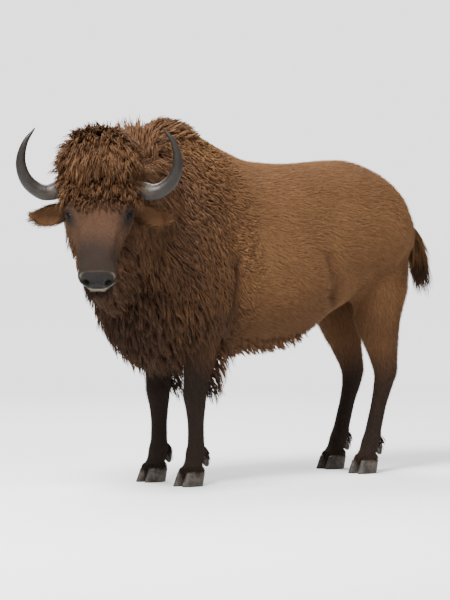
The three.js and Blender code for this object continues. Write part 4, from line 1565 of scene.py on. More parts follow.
@dataclass
class LongHair:
    """The long hair, from the crown and the mane to the tail tuft, in one piece for each."""

    flesh: Flesh
    seed: int = 7
    bushy: Cut = Cut(4, 3, 0.55, 0.2, 24.0, 0.2, 0.06, 1.4, 0.7, 0.1)
    shaggy: Cut = Cut(4, 3, 0.5, 0.13, 24.0, 0.12, 0.035, 1.5, 0.75)
    crest: Cut = Cut(4, 3, 0.5, 0.1, 24.0, 0.14, 0.04, 1.5, 0.7)
    sleek: Cut = Cut(4, 3, 0.5, 0.03, 14.0, 0.05, 0.02, 1.2, 0.5, 0.05)
    brow: Cut = Cut(3, 3, 0.5, 0.16, 10.0, 0.14, 0.04, 1.3, 0.6, 0.05)
    ear: Cut = Cut(3, 3, 0.5, 0.05, 9.0, 0.12, 0.03, 1.3, 0.5, 0.12)
    horn: Cut = Cut(4, 3, 0.5, 0.16, 12.0, 0.14, 0.04, 1.4, 0.6, 0.1)

    def patches(self) -> dict[str, tuple[str, Cut, list[tuple[Tube, Patch]]]]:
        """Each piece's material slot, its cut, and its patches on their forms."""
        f, share = self.flesh, Trunk.share
        near_side = Patch((0.3, 0.98), (34, 128), 26, 22, 128, 8, 15, towards(0.35, 0.1, -0.9))
        far_side = Patch((0.3, 0.88), (-34, -118), 24, 22, 92, 8, 13, towards(0.55, 0.3, -0.9))
        cuff = Patch((0.29, 0.53), (125, 235), 12, 7, 108, 6, 8, towards(0.5, 0, -1))
        temple = Patch((0.0, 0.14), (62, 150), 7, 12, 84, 6, 9, temple_lie, 4, 0.08)
        fetlock = Patch((0.85, 0.915), (130, 230), 5, 9, 42, 4, 5, towards(0.4, 0, -1))
        coronet = Patch((0.952, 0.975), (-180, 180), 3, 30, 25, 2.6, 4, coronet_lie, 4, 0.02)
        fore, hind = f.forelegs.values(), f.hindlegs.values()
        return {
            "mane_crown": ("mane", self.bushy, [
                (f.crown, Patch((0.03, 0.97), (-112, 112), 22, 30, 98, 6.2, 11, crown_lie)),
                (f.crown, Patch((0.76, 0.99), (-86, 86), 8, 19, 128, 6.2, 11,
                                hanging_lie, 6, -0.3)),
                (f.crown, Patch((0.0, 0.07), (-180, 180), 3, 15, 84, 6, 10,
                                towards(-0.9, -0.5, 0.3), 6, 0.15)),
                (f.crown, Patch((0.04, 0.26), (-80, 80), 5, 15, 70, 6, 10,
                                towards(-0.5, -0.3, 1), 6, 0.3)),
                (f.crown, Patch((0.3, 0.66), (-44, 34), 8, 9, 84, 7, 12,
                                towards(-0.6, -0.5, 0.3), 6, 0.26)),
            ]),
            "mane_brow": ("mane", self.brow, [
                (f.skull, Patch((0.05, 0.27), (-86, 86), 15, 26, 92, 5.5, 8, brow_lie, 4, 0.14)),
                (f.skull, Patch((0.26, 0.42), (-46, 46), 9, 15, 40, 4.2, 7, brow_lie, 4, 0.03)),
                (f.skull, temple),
                (f.skull, replace(temple, around=(-150, -62))),
            ]),
            "mane_beard": ("mane", self.shaggy, [
                (f.jaw, Patch((0.16, 0.86), (128, 232), 18, 12, 100, 6, 9, towards(0.12, 0.1, -1))),
            ]),
            "mane_throat": ("mane", self.shaggy, [
                (f.neck, Patch((0.4, 1), (126, 234), 23, 22, 84, 7.5, 13, towards(0.9, 0.2, -1))),
            ]),
            "mane_brisket": ("mane", self.shaggy, [
                (f.trunk, Patch((share(-400), share(-755)), (112, 248), 24, 21, 90, 8, 13,
                                towards(0.4, 0, -1))),
            ]),
            "mane_crest": ("mane", self.crest, [
                (f.neck, Patch((0.34, 1), (-36, 36), 24, 16, 112, 8, 13, towards(0.8, 0.35, 0))),
                (f.neck, Patch((0.8, 0.94), (-75, 75), 8, 20, 112, 8, 13, towards(0.5, 0.35, 0.5),
                               outward=0.5)),
                (f.trunk, Patch((share(-300), share(-665)), (-24, 24), 22, 11, 72, 8, 12,
                                towards(1, 0, 0))),
                (f.trunk, Patch((share(-600), share(-750)), (-44, 44), 8, 15, 104, 7.5, 12,
                                towards(-0.1, -0.15, 1), 6, 0.4)),
                (f.neck, Patch((0.3, 0.62), (-40, 40), 9, 13, 108, 7.5, 12,
                               towards(0.15, 0.1, 1), 6, 0.4)),
            ]),
            "mane_neck_left": ("mane", self.shaggy, [(f.neck, near_side)]),
            "mane_neck_right": ("mane", self.shaggy, [(f.neck, far_side)]),
            "mane_cuffs": ("mane", self.shaggy, [(leg, cuff) for leg in fore]),
            "mane_belly": ("mane", self.sleek, [
                (f.trunk, Patch((share(350), share(-400)), (146, 214), 28, 12, 42, 5, 9,
                                towards(0.75, 0, -0.6))),
            ]),
            "fetlock_hair": ("dark_coat", self.sleek, [
                *((leg, fetlock) for leg in fore),
                *((leg, replace(fetlock, along=(0.875, 0.93))) for leg in hind),
                *((leg, coronet) for leg in fore),
                *((leg, replace(coronet, along=(0.957, 0.977))) for leg in hind),
            ]),
            "ear_hair": ("dark_coat", self.ear, [
                (Ear(s).tube(), Patch((0.16, 0.95), span, 26, 3, 34, 2.2, 4, ear_lie(s), 4, 0.0))
                for s in BOTH for span in ((64, 112), (-112, -64))
            ]),
            "horn_hair": ("mane", self.horn, [
                (Horn(name).tube(), Patch((0.0, 0.16), (-180, 180), 11, 16, 46, 4.5, 5, horn_lie(s),
                                          3, 0.12))
                for name, s in SIDES.items()
            ]),
            "tail_hair": ("dark_coat", self.sleek, [
                (f.dock, Patch((0.6, 0.98), (-180, 180), 20, 10, 178, 5, 6,
                               towards(0, -0.12, -1), 6, 0.0, 0.03)),
            ]),
        }  # fmt: skip

    def dress(self, coat: Material) -> None:
        """Grows every piece, off the eyes.

        Args:
            coat: the coat's finish.
        """
        for number, (name, (slot, cut, beds)) in enumerate(self.patches().items()):
            rng = np.random.default_rng([self.seed, number])
            sets = [patch.roots(tube, rng) for tube, patch in beds]
            for k, roots in enumerate(sets):
                roots.chart[:, 0] = (roots.chart[:, 0] + k) / len(sets)
            roots = Roots.joined(sets)
            clear = np.ones(len(roots.at), bool)
            for side in BOTH:
                off = (HEAD.into(roots.at) - eye_place(side)) / EYE_CLEARING
                clear &= np.linalg.norm(off, axis=1) > 1
            settle(grown(name, roots.kept(clear), cut, coat), slot)


@dataclass
class ShortCoat:
    """The short hair all over the skin, in tufts that lie along the body."""

    flesh: Flesh
    skin: Skin
    seed: int = 3
    short: Cut = Cut(1, 3, 0.42, 0.42, 5.0, 0.14)
    rough: Cut = Cut(2, 3, 0.45, 0.17, 8.0, 0.18, 0.03, 1.2)
    fine: Cut = Cut(1, 3, 0.28, 0.14, 3.0, 0.12)
    body_length: float = 44.0
    mane_length: float = 32.0  # added over the shoulders and the neck
    shank_length: float = 19.0
    face_lengths: tuple[float, float] = (34.0, 16.0)  # at the ears and at the muzzle
    ear_length: float = 15.0
    dock_length: float = 28.0
    mane_ends: float = -190.0  # the places along the body where one coat meets the next
    rump_starts: float = 520.0
    spacing: Place = (5.7, 6.6, 12.0)  # between tufts on the shanks, the body and the mane
    face_spacing: tuple[float, float] = (4.0, 3.1)  # at the ears and at the muzzle
    ear_spacing: float = 4.4
    straying: float = 0.16  # how far each tuft strays from the lie of the coat
    hoof_fringe: float = 14.0  # added to the length over the hooves
    jaw_fringe: float = 16.0  # and along the jaw
    fine_width: tuple[float, float] = (1.9, 0.055)  # a tuft's width: this, and a share of
    body_width: tuple[float, float] = (2.4, 0.088)  # its length

    def dress(self, coat: Material) -> None:
        """Grows the short coat, parted into pieces.

        Args:
            coat: the coat's finish.
        """
        rng = np.random.default_rng(self.seed)
        at, out, form, place, angle = self._scatter(rng)
        kind = self.flesh.kinds(form)
        length, width = self._size(at, kind)
        n = len(at)
        lie = unit(self._lie(at, out, kind) + rng.normal(0, self.straying, (n, 3)))
        roots = Roots(
            at,
            out,
            unit(lie - out * (lie * out).sum(-1, keepdims=True)),
            length * (1 + rng.uniform(-0.35, 0.3, n)),
            width * (1 + rng.uniform(-0.25, 0.25, n)),
            np.stack([angle / math.tau, place], -1),
            rng.normal(0, 0.6, n),
            rng.uniform(0, 1, n),
            np.zeros((n, 3)),
        )
        for name, (slot, cut, chosen) in self._pieces(at, kind).items():
            mine, numbers = roots.kept(chosen), form[chosen]
            used = np.unique(numbers)
            mine.chart[:, 0] = (mine.chart[:, 0] + np.searchsorted(used, numbers)) / len(used)
            settle(grown(name, mine, cut, coat), slot)

    def _pieces(self, at: Array, kind: Array) -> dict[str, tuple[str, Cut, Array]]:
        """The pieces.

        Args:
            at: the roots' places.
            kind: the forms' kinds that they grow from.

        Returns:
            Each piece's slot, its cut, and which roots are its own.
        """
        x, y = at[:, 0], at[:, 1]
        trunk = among(kind, Kind.TRUNK, Kind.DOCK)
        ragged = 90 * np.sin(at @ (12.9, 78.2, 37.7))
        front = x + ragged < self.mane_ends
        flank = trunk & ~front & (x < self.rump_starts)
        face, neck = among(kind, Kind.SKULL, Kind.JAW, Kind.EAR), among(kind, Kind.NECK, Kind.CROWN)
        return {
            "coat_face": ("dark_coat", self.fine, face),
            "coat_neck": ("mane", self.rough, neck),
            "coat_shoulders": ("mane", self.rough, trunk & front),
            "coat_flank_left": ("coat", self.short, flank & (y < 0)),
            "coat_flank_right": ("coat", self.short, flank & (y >= 0)),
            "coat_rump": ("coat", self.short, trunk & (x >= self.rump_starts)),
            "coat_forelegs": ("dark_coat", self.short, among(kind, Kind.FORELEG)),
            "coat_hindlegs": ("dark_coat", self.short, among(kind, Kind.HINDLEG)),
        }

    def _size(self, at: Array, kind: Array) -> tuple[Array, Array]:
        """Each tuft's length and width.

        Args:
            at: the roots' places.
            kind: the forms' kinds that they grow from.

        Returns:
            The lengths and the widths.
        """
        x, _, z = at.T
        h = HEAD.into(at)
        length = self.body_length + self.mane_length * smooth(-60, -430, x)
        length = mix(self.shank_length, length, smooth(330, 800, z))
        length += self.hoof_fringe * smooth(150, 84, z)
        face = mix(*self.face_lengths, smooth(180, 520, h[:, 0]))
        face += self.jaw_fringe * smooth(-40, -110, h[:, 2])
        for side in BOTH:
            off = np.linalg.norm(EyeAxes.of(side).into(at) / (1.35, 1, 1), axis=1)
            face = face * mix(0.25, 1.0, smooth(18, 62, off))
        length = np.where(among(kind, Kind.SKULL, Kind.JAW), face, length)
        length = np.where(among(kind, Kind.EAR), self.ear_length, length)
        length = np.where(among(kind, Kind.DOCK), self.dock_length, length)
        fine = among(kind, Kind.SKULL, Kind.JAW, Kind.EAR)
        widths = (base + length * share for base, share in (self.fine_width, self.body_width))
        return length, np.where(fine, *widths)

    def _spacing(self, at: Array) -> Array:
        """How far apart the tufts grow.

        Args:
            at: places on the skin.

        Returns:
            The distance between tufts at each.
        """
        x, _, z = at.T
        hx, hy, hz = HEAD.into(at).T
        shanks, body, mane = self.spacing
        apart = mix(shanks, mix(body, mane, smooth(-110, -300, x)), smooth(380, 760, z))
        ear = (np.abs(hy) > 165) & (np.abs(hy) < 420) & (hx > 40) & (hz > -160)
        face = mix(*self.face_spacing, smooth(200, 520, hx))
        return mix(np.where(ear, self.ear_spacing, apart), face, self.skin.on_head(at))

    def _lie(self, at: Array, out: Array, kind: Array) -> Array:
        """The way the coat lies at each root.

        Args:
            at: the roots' places.
            out: the ways out of the skin there.
            kind: the forms' kinds that they grow from.

        Returns:
            Unit directions along the skin.
        """
        x, _, z = at.T
        h = HEAD.into(at)
        down = mix(0.35, 1.1, smooth(700, 1120, x)) + 0.5 * smooth(-60, -400, x)
        down += 0.28 * np.sin(x / 61 + 1.9 * np.sin(z / 83)) + 0.16 * np.sin(z / 37 + x / 29)
        body = np.stack([mix(1.0, 0.45, smooth(-60, -420, x)), 0 * x, -down], -1)
        cheek = smooth(0, -90, h[:, 2])[:, None] * smooth(420, 260, h[:, 0])[:, None]
        face = HEAD.turn(np.stack([0 * x + 1, 0.3 * np.tanh(h[:, 1] / 90), -0.35 + 0 * x], -1))
        face = mix(face, unit(-UP - 0.6 * HEADING), cheek)
        for side in BOTH:
            off = at - HEAD.out(eye_place(side))
            far = np.linalg.norm(off, axis=1, keepdims=True)
            face = mix(face, unit(off) + 0.35 * face, smooth(75, 30, far))
        lies = (
            ([0.16, 0, -1.0], (Kind.FORELEG, Kind.HINDLEG)),
            ([0.45, 0.15, -0.8], (Kind.NECK,)),
            (face, (Kind.SKULL, Kind.JAW)),
            (LEFTWARD * np.sign(h[:, 1:2]) - 0.3 * UP, (Kind.EAR,)),
            ([0.2, -0.4, -1.0], (Kind.DOCK,)),
        )
        for way, kinds in lies:
            body = np.where(among(kind, *kinds)[:, None], way, body)
        return unit(body - out * (body * out).sum(-1, keepdims=True))

    def _scatter(self, rng: np.random.Generator) -> tuple[Array, ...]:
        """Spreads roots evenly over the skin, off its bare places.

        Args:
            rng: the source of their variation.

        Returns:
            The roots' places, the ways out, and their forms, places along and angles.
        """
        data = self.skin.piece.data
        points, normals = points_of(data), normals_of(data)
        sizes, corners = read(data.polygons, "loop_total"), read(data.loops, "vertex_index")
        sizes, corners = sizes.ravel(), corners.ravel()
        first = np.concatenate([[0], np.cumsum(sizes)[:-1]])
        four = np.stack([corners[first + np.minimum(k, sizes - 1)] for k in range(4)], -1)
        a, b, c, d = (points[four[:, k]] for k in range(4))
        area = np.linalg.norm(np.cross(c - a, d - b), axis=1) / 2
        area = np.where(sizes == 3, np.linalg.norm(np.cross(b - a, c - a), axis=1) / 2, area)
        middle = (a + b + c + d) / 4
        bare = MARKINGS_AND_FOLD_SHADE.at(middle)[2]
        expected = area / self._spacing(middle) ** 2 * smooth(0.55, 0.25, bare)
        expected *= middle[:, 2] > CORONET - 8
        for side in BOTH:
            local = EyeAxes.of(side).into(middle)
            expected *= np.hypot(local[:, 0] / 25, local[:, 1] / 18) > 1
        count = np.floor(expected + rng.uniform(0, 1, len(area))).astype(int)
        face = np.repeat(np.arange(len(area)), count)
        u, v = rng.uniform(0, 1, (2, len(face), 1))
        share = [(1 - u) * (1 - v), u * (1 - v), u * v, (1 - u) * v]
        corner = four[face]
        at, out = (sum(m[corner[:, k]] * share[k] for k in range(4)) for m in (points, normals))
        return at, unit(out), *self.flesh.find(at)


# ------------------------------------------------------------------ ears, eyes, horns, hooves
def line_beside(root: Array, side: float, path: Iterable[Place]) -> Line:
    """A line on one side of the head.

    Args:
        root: the place on the head that its points are measured from.
        side: -1 for the left, 1 for the right.
        path: how far out, up and ahead of the face each of its points is.

    Returns:
        The line, in the modeller's axes.
    """
    return Line(
        [root - LEFTWARD * side * out + HEADING * ahead + UP * up for out, up, ahead in path]
    )


def globe(edge: float, count: int, around: int) -> tuple[Array, Array]:
    """A ball's rings.

    Args:
        edge: how far from the poles they stop, in radians.
        count: the number of rings.
        around: the number of places round each.

    Returns:
        The rings' angles from the pole, and the unit ways out to their places.
    """
    polar, turn = np.linspace(edge, math.pi - edge, count)[:, None], turns(around)[None, :]
    x, y = np.sin(polar) * np.cos(turn), np.sin(polar) * np.sin(turn)
    return polar, np.stack([x, y, np.cos(polar) + 0 * turn], -1)


@dataclass(frozen=True)
class Ear:
    """A cupped leaf that opens ahead of the face."""

    side: float  # -1 for the left, 1 for the right
    width: Profile = Profile((0, 24), (0.2, 34), (0.45, 50), (0.7, 42), (0.9, 20), (1, 3))
    back: float = 21.0  # how far the leaf bulges back
    hollow: float = 13.0  # how deep its cup is
    thin: float = 0.94  # the leaf's width over that of its solid

    def tube(self) -> Tube:
        """The ear, from inside the head to its tip."""
        path = ((-20, 6, 0), (EAR_LENGTH * 0.3, -16, 8), (EAR_LENGTH * 0.62, -34, 0),
                (EAR_LENGTH * 0.93, -24, -20))  # fmt: skip
        line = line_beside(HEAD.out([118, -self.side * 128, -34]), self.side, path)

        def station(t: Array) -> Station:
            """The stations outwards."""
            along = line.along(t)
            up = unit(HEADING - along * (along @ HEADING)[:, None])
            width = self.width(t) * self.thin
            full = np.minimum(1, width / 30)
            cup = smooth(0.14, 0.34, t) * smooth(1.0, 0.8, t)
            front = mix(self.back, -self.hollow, cup) * full
            return station_of(line.at(t), along, up, (front, self.back * full, width))

        return Tube(station)


@dataclass(frozen=True)
class Horn:
    """A horn that leaves the skull sideways, then sweeps up and in."""

    side: str
    thickness: Profile = Profile(
        (0, HORN_R), (0.25, HORN_R * 0.9), (0.6, HORN_R * 0.62), (0.88, HORN_R * 0.27), (1, 3)
    )
    thin: float = 0.985  # over the thickness of its solid
    root_depth: float = 34.0  # how much further into the head it runs than its solid
    around: int = 48

    @cached_property
    def line(self) -> Line:
        """The horn's middle, from root to tip."""
        side = SIDES[self.side]
        path = (
            (-30, 8, 0), (60, -34, -4), (140, -52, 8), (HORN_REACH - 32, -4, 26),
            (HORN_REACH, 84, 44), (HORN_REACH - 20, 178, 56), (HORN_REACH - 66, HORN_RISE, 52),
        )  # fmt: skip
        return line_beside(HEAD.out([42, -side * 118, 84]), side, path)

    def tube(self) -> Tube:
        """The horn as a form, with rings of growth that fade towards its polished tip."""

        def station(t: Array) -> Station:
            """The stations from root to tip."""
            along = self.line.along(t)
            up = np.cross(along, unit(np.cross(HEADING, along)))
            beat = t * 52 + 0.8 * np.sin(t * 21)
            rings = 0.022 * np.cos(beat) + 0.008 * np.cos(beat * 2.7 + 1)
            radius = self.thickness(t) * (1 + smooth(0.62, 0.1, t) * rings) * self.thin
            return station_of(self.line.at(t), along, up, (radius * 1.03, radius, radius * 0.97))

        return Tube(station)

    def build(self, material: Material) -> None:
        """Makes the horn, with a root that closes inside the head.

        Args:
            material: its finish.
        """
        t = np.concatenate([np.linspace(0, 0.9, 150), np.linspace(0.905, 1, 24)])
        rings = self.tube().rings(t, self.around)
        middle = rings[0].mean(0)
        inward = unit(HEAD.out([70, 0, -30]) - middle)
        rings[0] = mix(middle, rings[0], 0.86)
        root = mix(middle, rings[0], 0.8) + inward * self.root_depth
        tip = rings[-1] * 0.35 + rings[-1].mean(0) * 0.65 + self.line.along(np.ones(1)) * 2
        mesh = closed_rings(np.concatenate([root[None], rings, tip[None]]))
        piece = new_object(f"horn_{self.side}_shell", mesh, material)
        growth = np.repeat(np.concatenate([[0.0], t, [1.0]]), self.around)
        set_values(piece.data, "growth", np.append(growth, [0.0, 1.0]))
        settle(piece, "horn", [f"horn_{self.side}"])


@dataclass(frozen=True)
class Eye:
    """An eyeball with a clear bulge over its iris."""

    side: str
    bulge: float = 1.4
    iris: float = 0.8  # the iris's edge over the radius

    def build(self, material: Material) -> None:
        """Makes the eyeball, with the way of each point from its middle.

        Args:
            material: its finish.
        """
        polar, ways = globe(0.03, 48, 64)
        bulge = self.bulge * smooth(self.iris, 0.2, np.sin(polar)) * (np.cos(polar) > 0)
        axes = EyeAxes.of(SIDES[self.side])
        mesh = closed_rings(axes.out(ways * (EYE_R - 0.2 + bulge)[..., None]))
        piece = new_object(f"eye_{self.side}_ball", mesh, material)
        set_values(piece.data, "gaze", axes.into(points_of(piece.data)) / EYE_R)
        settle(piece, "eye", [f"eye_{self.side}"])


@dataclass(frozen=True)
class Hooves:
    """Two claws on each foot, and two dewclaws behind each fetlock."""

    fore_x: float = -26.0  # from the foot's middle to its claws
    hind_x: float = -6.0
    apart: float = 33.0  # from the foot's middle to each claw's
    half: float = 29.0
    lean: float = -20.0
    top: float = 54.0
    toe: float = 68.0
    heel: float = 60.0
    dew_at: Place = (72.0, 25.0, 116.0)  # behind the claws, aside and above the floor
    dew_radii: Place = (18.0, 14.0, 27.0)
    dew_tilt: float = math.radians(-30)

    def claw(self, x: float, y: float, side: float) -> Mesh:
        """One claw, with a flat sole, a rounded edge and low rings of growth.

        Args:
            x: the place along the body of the foot's claws.
            y: the foot's place across it.
            side: which way from there the claw is.

        Returns:
            The claw's surface.
        """

        def station(t: Array) -> Station:
            """The stations from the coronet to the sole."""
            aside = y + side * self.apart + 0 * t
            at = np.stack([x + self.lean * t, aside, mix(CORONET - GAP, 0, t)], -1)
            edge = 1 - 0.05 * smooth(0.95, 1.0, t) - 0.15 * smooth(0.12, 0.0, t)
            rings = 1 + 0.006 * np.cos(t * 34) * smooth(0.05, 0.2, t)
            band = edge * rings * (1 + 0.02 * np.exp(-(((t - 0.1) / 0.06) ** 2)))
            ahead, back = mix(self.top, self.toe, t), mix(self.top, self.heel, t)
            half = self.half + mix(-1, 1, t)
            reach = (ahead * band * 0.985, back * band * 0.97, half * band * 0.985)
            return station_of(at, -UP, ONWARD, reach, (1.8, 2.6))

        spans = ((0, 0.08, 6), (0.12, 0.92, 20), (0.95, 1, 7))
        t = np.concatenate([np.linspace(*span) for span in spans])
        return closed_rings(Tube(station).rings(t, 40))

    def dewclaw(self, x: float, y: float, side: float) -> Mesh:
        """One blunt dewclaw.

        Args:
            x: the place along the body of the foot's claws.
            y: the foot's place across it.
            side: which way from there the dewclaw is.

        Returns:
            The dewclaw's surface.
        """
        behind, aside, height = self.dew_at
        polar, ways = globe(0.06, 22, 28)
        rings = np.roll(ways, 1, -1) * (1 + 0.02 * np.cos(polar * 14))[..., None]
        c, s = math.cos(self.dew_tilt), math.sin(self.dew_tilt)
        turned = (rings * np.array(self.dew_radii)) @ np.array([[c, 0, -s], [0, 1, 0], [s, 0, c]])
        return closed_rings(turned * 0.97 + np.array([x + behind, y + side * aside, height]))

    def build(self, material: Material) -> None:
        """Makes every claw and dewclaw.

        Args:
            material: their finish.
        """
        feet = [("fore", self.fore_x, k, *f) for k, f in FOREFOOT.items()]
        feet += [("hind", self.hind_x, k, *f) for k, f in HINDFOOT.items()]
        for pair, ahead, name, x, y in feet:
            out = math.copysign(1, y)
            for toe, side in (("inner", -out), ("outer", out)):
                for make, word in ((self.claw, "hoof"), (self.dewclaw, "dewclaw")):
                    node = f"{word}_{pair}_{name}_{toe}"
                    piece = new_object(f"{node}_shell", make(x + ahead, y, side), material)
                    settle(piece, "hoof", [node])


# ------------------------------------------------------------------ finishes
Socket = bpy.types.NodeSocket
Sockets = bpy.types.bpy_prop_collection
Colour = tuple[float, float, float]
Input = Socket | float | Colour


class Graph:
    """A node tree being laid out."""

    def __init__(self, tree: bpy.types.NodeTree) -> None:
        """Starts on a tree."""
        self.tree = tree

    def feed(self, node: bpy.types.Node, key: str | int, value: Input) -> None:
        """Links an output to a node's input, or sets the input's own value.

        Args:
            node: the node.
            key: the input's name or number.
            value: the output, or the value.
        """
        socket = node.inputs[key]
        if isinstance(value, Socket):
            self.tree.links.new(value, socket)
        else:
            socket.default_value = (*value, 1.0) if socket.type == "RGBA" else value

    def node(
        self, kind: str, values: dict[str | int, Input] | None = None, **settings: object
    ) -> Sockets:
        """Adds a node.

        Args:
            kind: its type's name, after ShaderNode.
            values: what goes into its inputs: a value, or the output that feeds it.
            settings: its own properties.

        Returns:
            The node's outputs.
        """
        made = self.tree.nodes.new(f"ShaderNode{kind}")
        for key, value in settings.items():
            setattr(made, key, value)
        for key, value in (values or {}).items():
            self.feed(made, key, value)
        return made.outputs

    def math(self, operation: str, a: Input, b: Input = 0.0, clamp: bool = False) -> Socket:
        """The result of a sum on numbers."""
        return self.node("Math", {0: a, 1: b}, operation=operation, use_clamp=clamp)[0]

    plus = partialmethod(math, "ADD")
    minus = partialmethod(math, "SUBTRACT")
    times = partialmethod(math, "MULTIPLY")
    over = partialmethod(math, "DIVIDE")

    def mixed(self, share: Input, a: Input, b: Input) -> Socket:
        """The colour a share of the way from a to b."""
        return self.node("Mix", {0: share, 6: a, 7: b}, data_type="RGBA")[2]

    def between(self, share: Input, a: Input, b: Input) -> Socket:
        """The number a share of the way from a to b."""
        return self.node("Mix", {0: share, 2: a, 3: b})[0]

    def ranged(
        self, value: Socket, low: float, high: float, to_low: float = 0.0, to_high: float = 1.0
    ) -> Socket:
        """A number moved from one range to another, held inside it."""
        values = dict(enumerate((value, low, high, to_low, to_high)))
        return self.node("MapRange", values, interpolation_type="SMOOTHSTEP")[0]

    def value(self, name: str, output: str = "Fac") -> Socket:
        """One of a mesh's own values."""
        return self.node("Attribute", attribute_name=name)[output]

    def noise(self, vector: Socket, scale: Input, detail: float = 3.0) -> Socket:
        """Soft noise, 0 to 1."""
        return self.node("TexNoise", {"Vector": vector, "Scale": scale, "Detail": detail})[0]

    def stretched(self, vector: Socket, scale: tuple[float, float, float]) -> Socket:
        """Coordinates stretched along their axes."""
        return self.node("Mapping", {"Vector": vector, "Scale": scale})[0]

    def bump(self, height: Socket, strength: float, distance: float) -> Socket:
        """The way out of a surface roughened by a height."""
        values = {"Height": height, "Strength": strength, "Distance": distance}
        return self.node("Bump", values)[0]

    def ramp(self, value: Socket, stops: dict[float, Colour]) -> Socket:
        """The colour at a place in a row of colours.

        Args:
            value: the place, 0 to 1.
            stops: the colours, by their own places.

        Returns:
            The colour there, blended from its neighbours.
        """
        made = self.node("ValToRGB", {0: value})[0]
        elements = made.node.color_ramp.elements
        elements.remove(elements[1])
        for number, (place, colour) in enumerate(stops.items()):
            element = elements.new(place) if number else elements[0]
            element.position, element.color = place, (*colour, 1.0)
        return made

    def here(self) -> Socket:
        """The place on the animal, in metres."""
        return self.node("TexCoord")["Object"]


class Effect:
    """A look that finishes share, as a shader node group that is built once."""

    INPUTS: tuple[str, ...] = ()
    OUTPUTS: dict[str, str] = {}  # the outputs' names and their kinds

    def lay(self, g: Graph, given: Sockets) -> dict[str, Socket]:
        """Lays out the group's nodes.

        Args:
            g: the group's graph.
            given: what the group's inputs are given.

        Returns:
            What goes to each of its outputs.
        """
        raise NotImplementedError

    def place(self, graph: Graph, **values: Input) -> Sockets:
        """Places the group in a material.

        Args:
            graph: the material's graph.
            values: what goes into the group's inputs.

        Returns:
            The outputs of the group's node.
        """
        name = type(self).__name__
        tree = bpy.data.node_groups.get(name)
        if tree is None:
            tree = bpy.data.node_groups.new(name, "ShaderNodeTree")
            kinds = dict.fromkeys(self.INPUTS, "Float")
            for sockets, way in ((kinds, "INPUT"), (self.OUTPUTS, "OUTPUT")):
                for key, kind in sockets.items():
                    tree.interface.new_socket(key, in_out=way, socket_type=f"NodeSocket{kind}")
            g, end = Graph(tree), tree.nodes.new("NodeGroupOutput")
            for key, socket in self.lay(g, tree.nodes.new("NodeGroupInput").outputs).items():
                g.feed(end, key, socket)
        return graph.node("Group", values, node_tree=tree)


@dataclass(frozen=True)
class CoatColour(Effect):
    """The colour that skin and tufts share, from darkness, paleness and wear."""

    INPUTS = ("Dark", "Pale", "Tone")
    OUTPUTS = {"Color": "Color"}
    golden: Colour = (0.225, 0.122, 0.052)
    chestnut: Colour = (0.105, 0.050, 0.0215)
    umber: Colour = (0.044, 0.0215, 0.0115)
    black_brown: Colour = (0.012, 0.008, 0.006)
    pale: Colour = (0.30, 0.26, 0.21)
    broad: float = 0.26  # how much the darkness drifts over the body
    fine: float = 0.12  # how much it differs from lock to lock

    def lay(self, g: Graph, given: Sockets) -> dict[str, Socket]:
        """The colour of the coat; a higher Tone is lighter."""
        here = g.here()
        broad, fine = g.noise(here, 2.6, 4.0), g.noise(here, 38.0, 2.0)
        drift = g.plus(g.times(broad, self.broad), g.times(fine, self.fine))
        dark = g.plus(given["Dark"], g.minus(drift, (self.broad + self.fine) / 2))
        stops = {0.0: self.golden, 0.38: self.chestnut, 0.66: self.umber, 1.0: self.black_brown}
        colour = g.ramp(g.minus(dark, given["Tone"], clamp=True), stops)
        return {"Color": g.mixed(g.times(given["Pale"], 0.85), colour, self.pale)}


@dataclass(frozen=True)
class HairGrain(Effect):
    """Fine hair as a height: it lies along the body or, by Upright, down it."""

    INPUTS = ("Upright",)
    OUTPUTS = {"Height": "Float"}
    across: float = 620.0
    along: float = 46.0

    def lay(self, g: Graph, given: Sockets) -> dict[str, Socket]:
        """The height of the hair."""
        here, lies = g.here(), (self.along, self.across, self.across * 0.5)
        body = g.noise(g.stretched(here, lies), 1.0, 4.0)
        legs = g.noise(g.stretched(here, (self.across, self.across, self.along)), 1.0, 4.0)
        fibre = g.between(given["Upright"], body, legs)
        return {"Height": g.plus(fibre, g.times(g.noise(here, 90.0), 0.7))}


@dataclass(frozen=True)
class KeratinGrain(Effect):
    """The fibres and flaws of horn, as a mask and a height."""

    INPUTS = ("Scale",)
    OUTPUTS = {"Mask": "Float", "Height": "Float"}
    stretch: tuple[float, float, float] = (9.0, 9.0, 1.6)

    def lay(self, g: Graph, given: Sockets) -> dict[str, Socket]:
        """The worn places and the height of the fibres."""
        here, scale = g.here(), given["Scale"]
        soft = g.noise(here, scale, 5.0)
        streak = g.noise(g.stretched(here, self.stretch), scale, 4.0)
        return {"Mask": g.ranged(g.times(soft, streak), 0.16, 0.4), "Height": g.plus(streak, soft)}


class Finish:
    """A material with one plain shader."""

    name: str

    def wires(self, g: Graph) -> dict[str, Input]:
        """Lays out the material's nodes.

        Args:
            g: the material's graph.

        Returns:
            What goes into the shader's inputs: values, and the outputs that feed it.
        """
        raise NotImplementedError

    def build(self) -> Material:
        """Makes the material."""
        material = bpy.data.materials.new(self.name)
        material.use_nodes = True
        g = Graph(material.node_tree)
        for key, value in self.wires(g).items():
            g.feed(g.tree.nodes["Principled BSDF"], key, value)
        return material


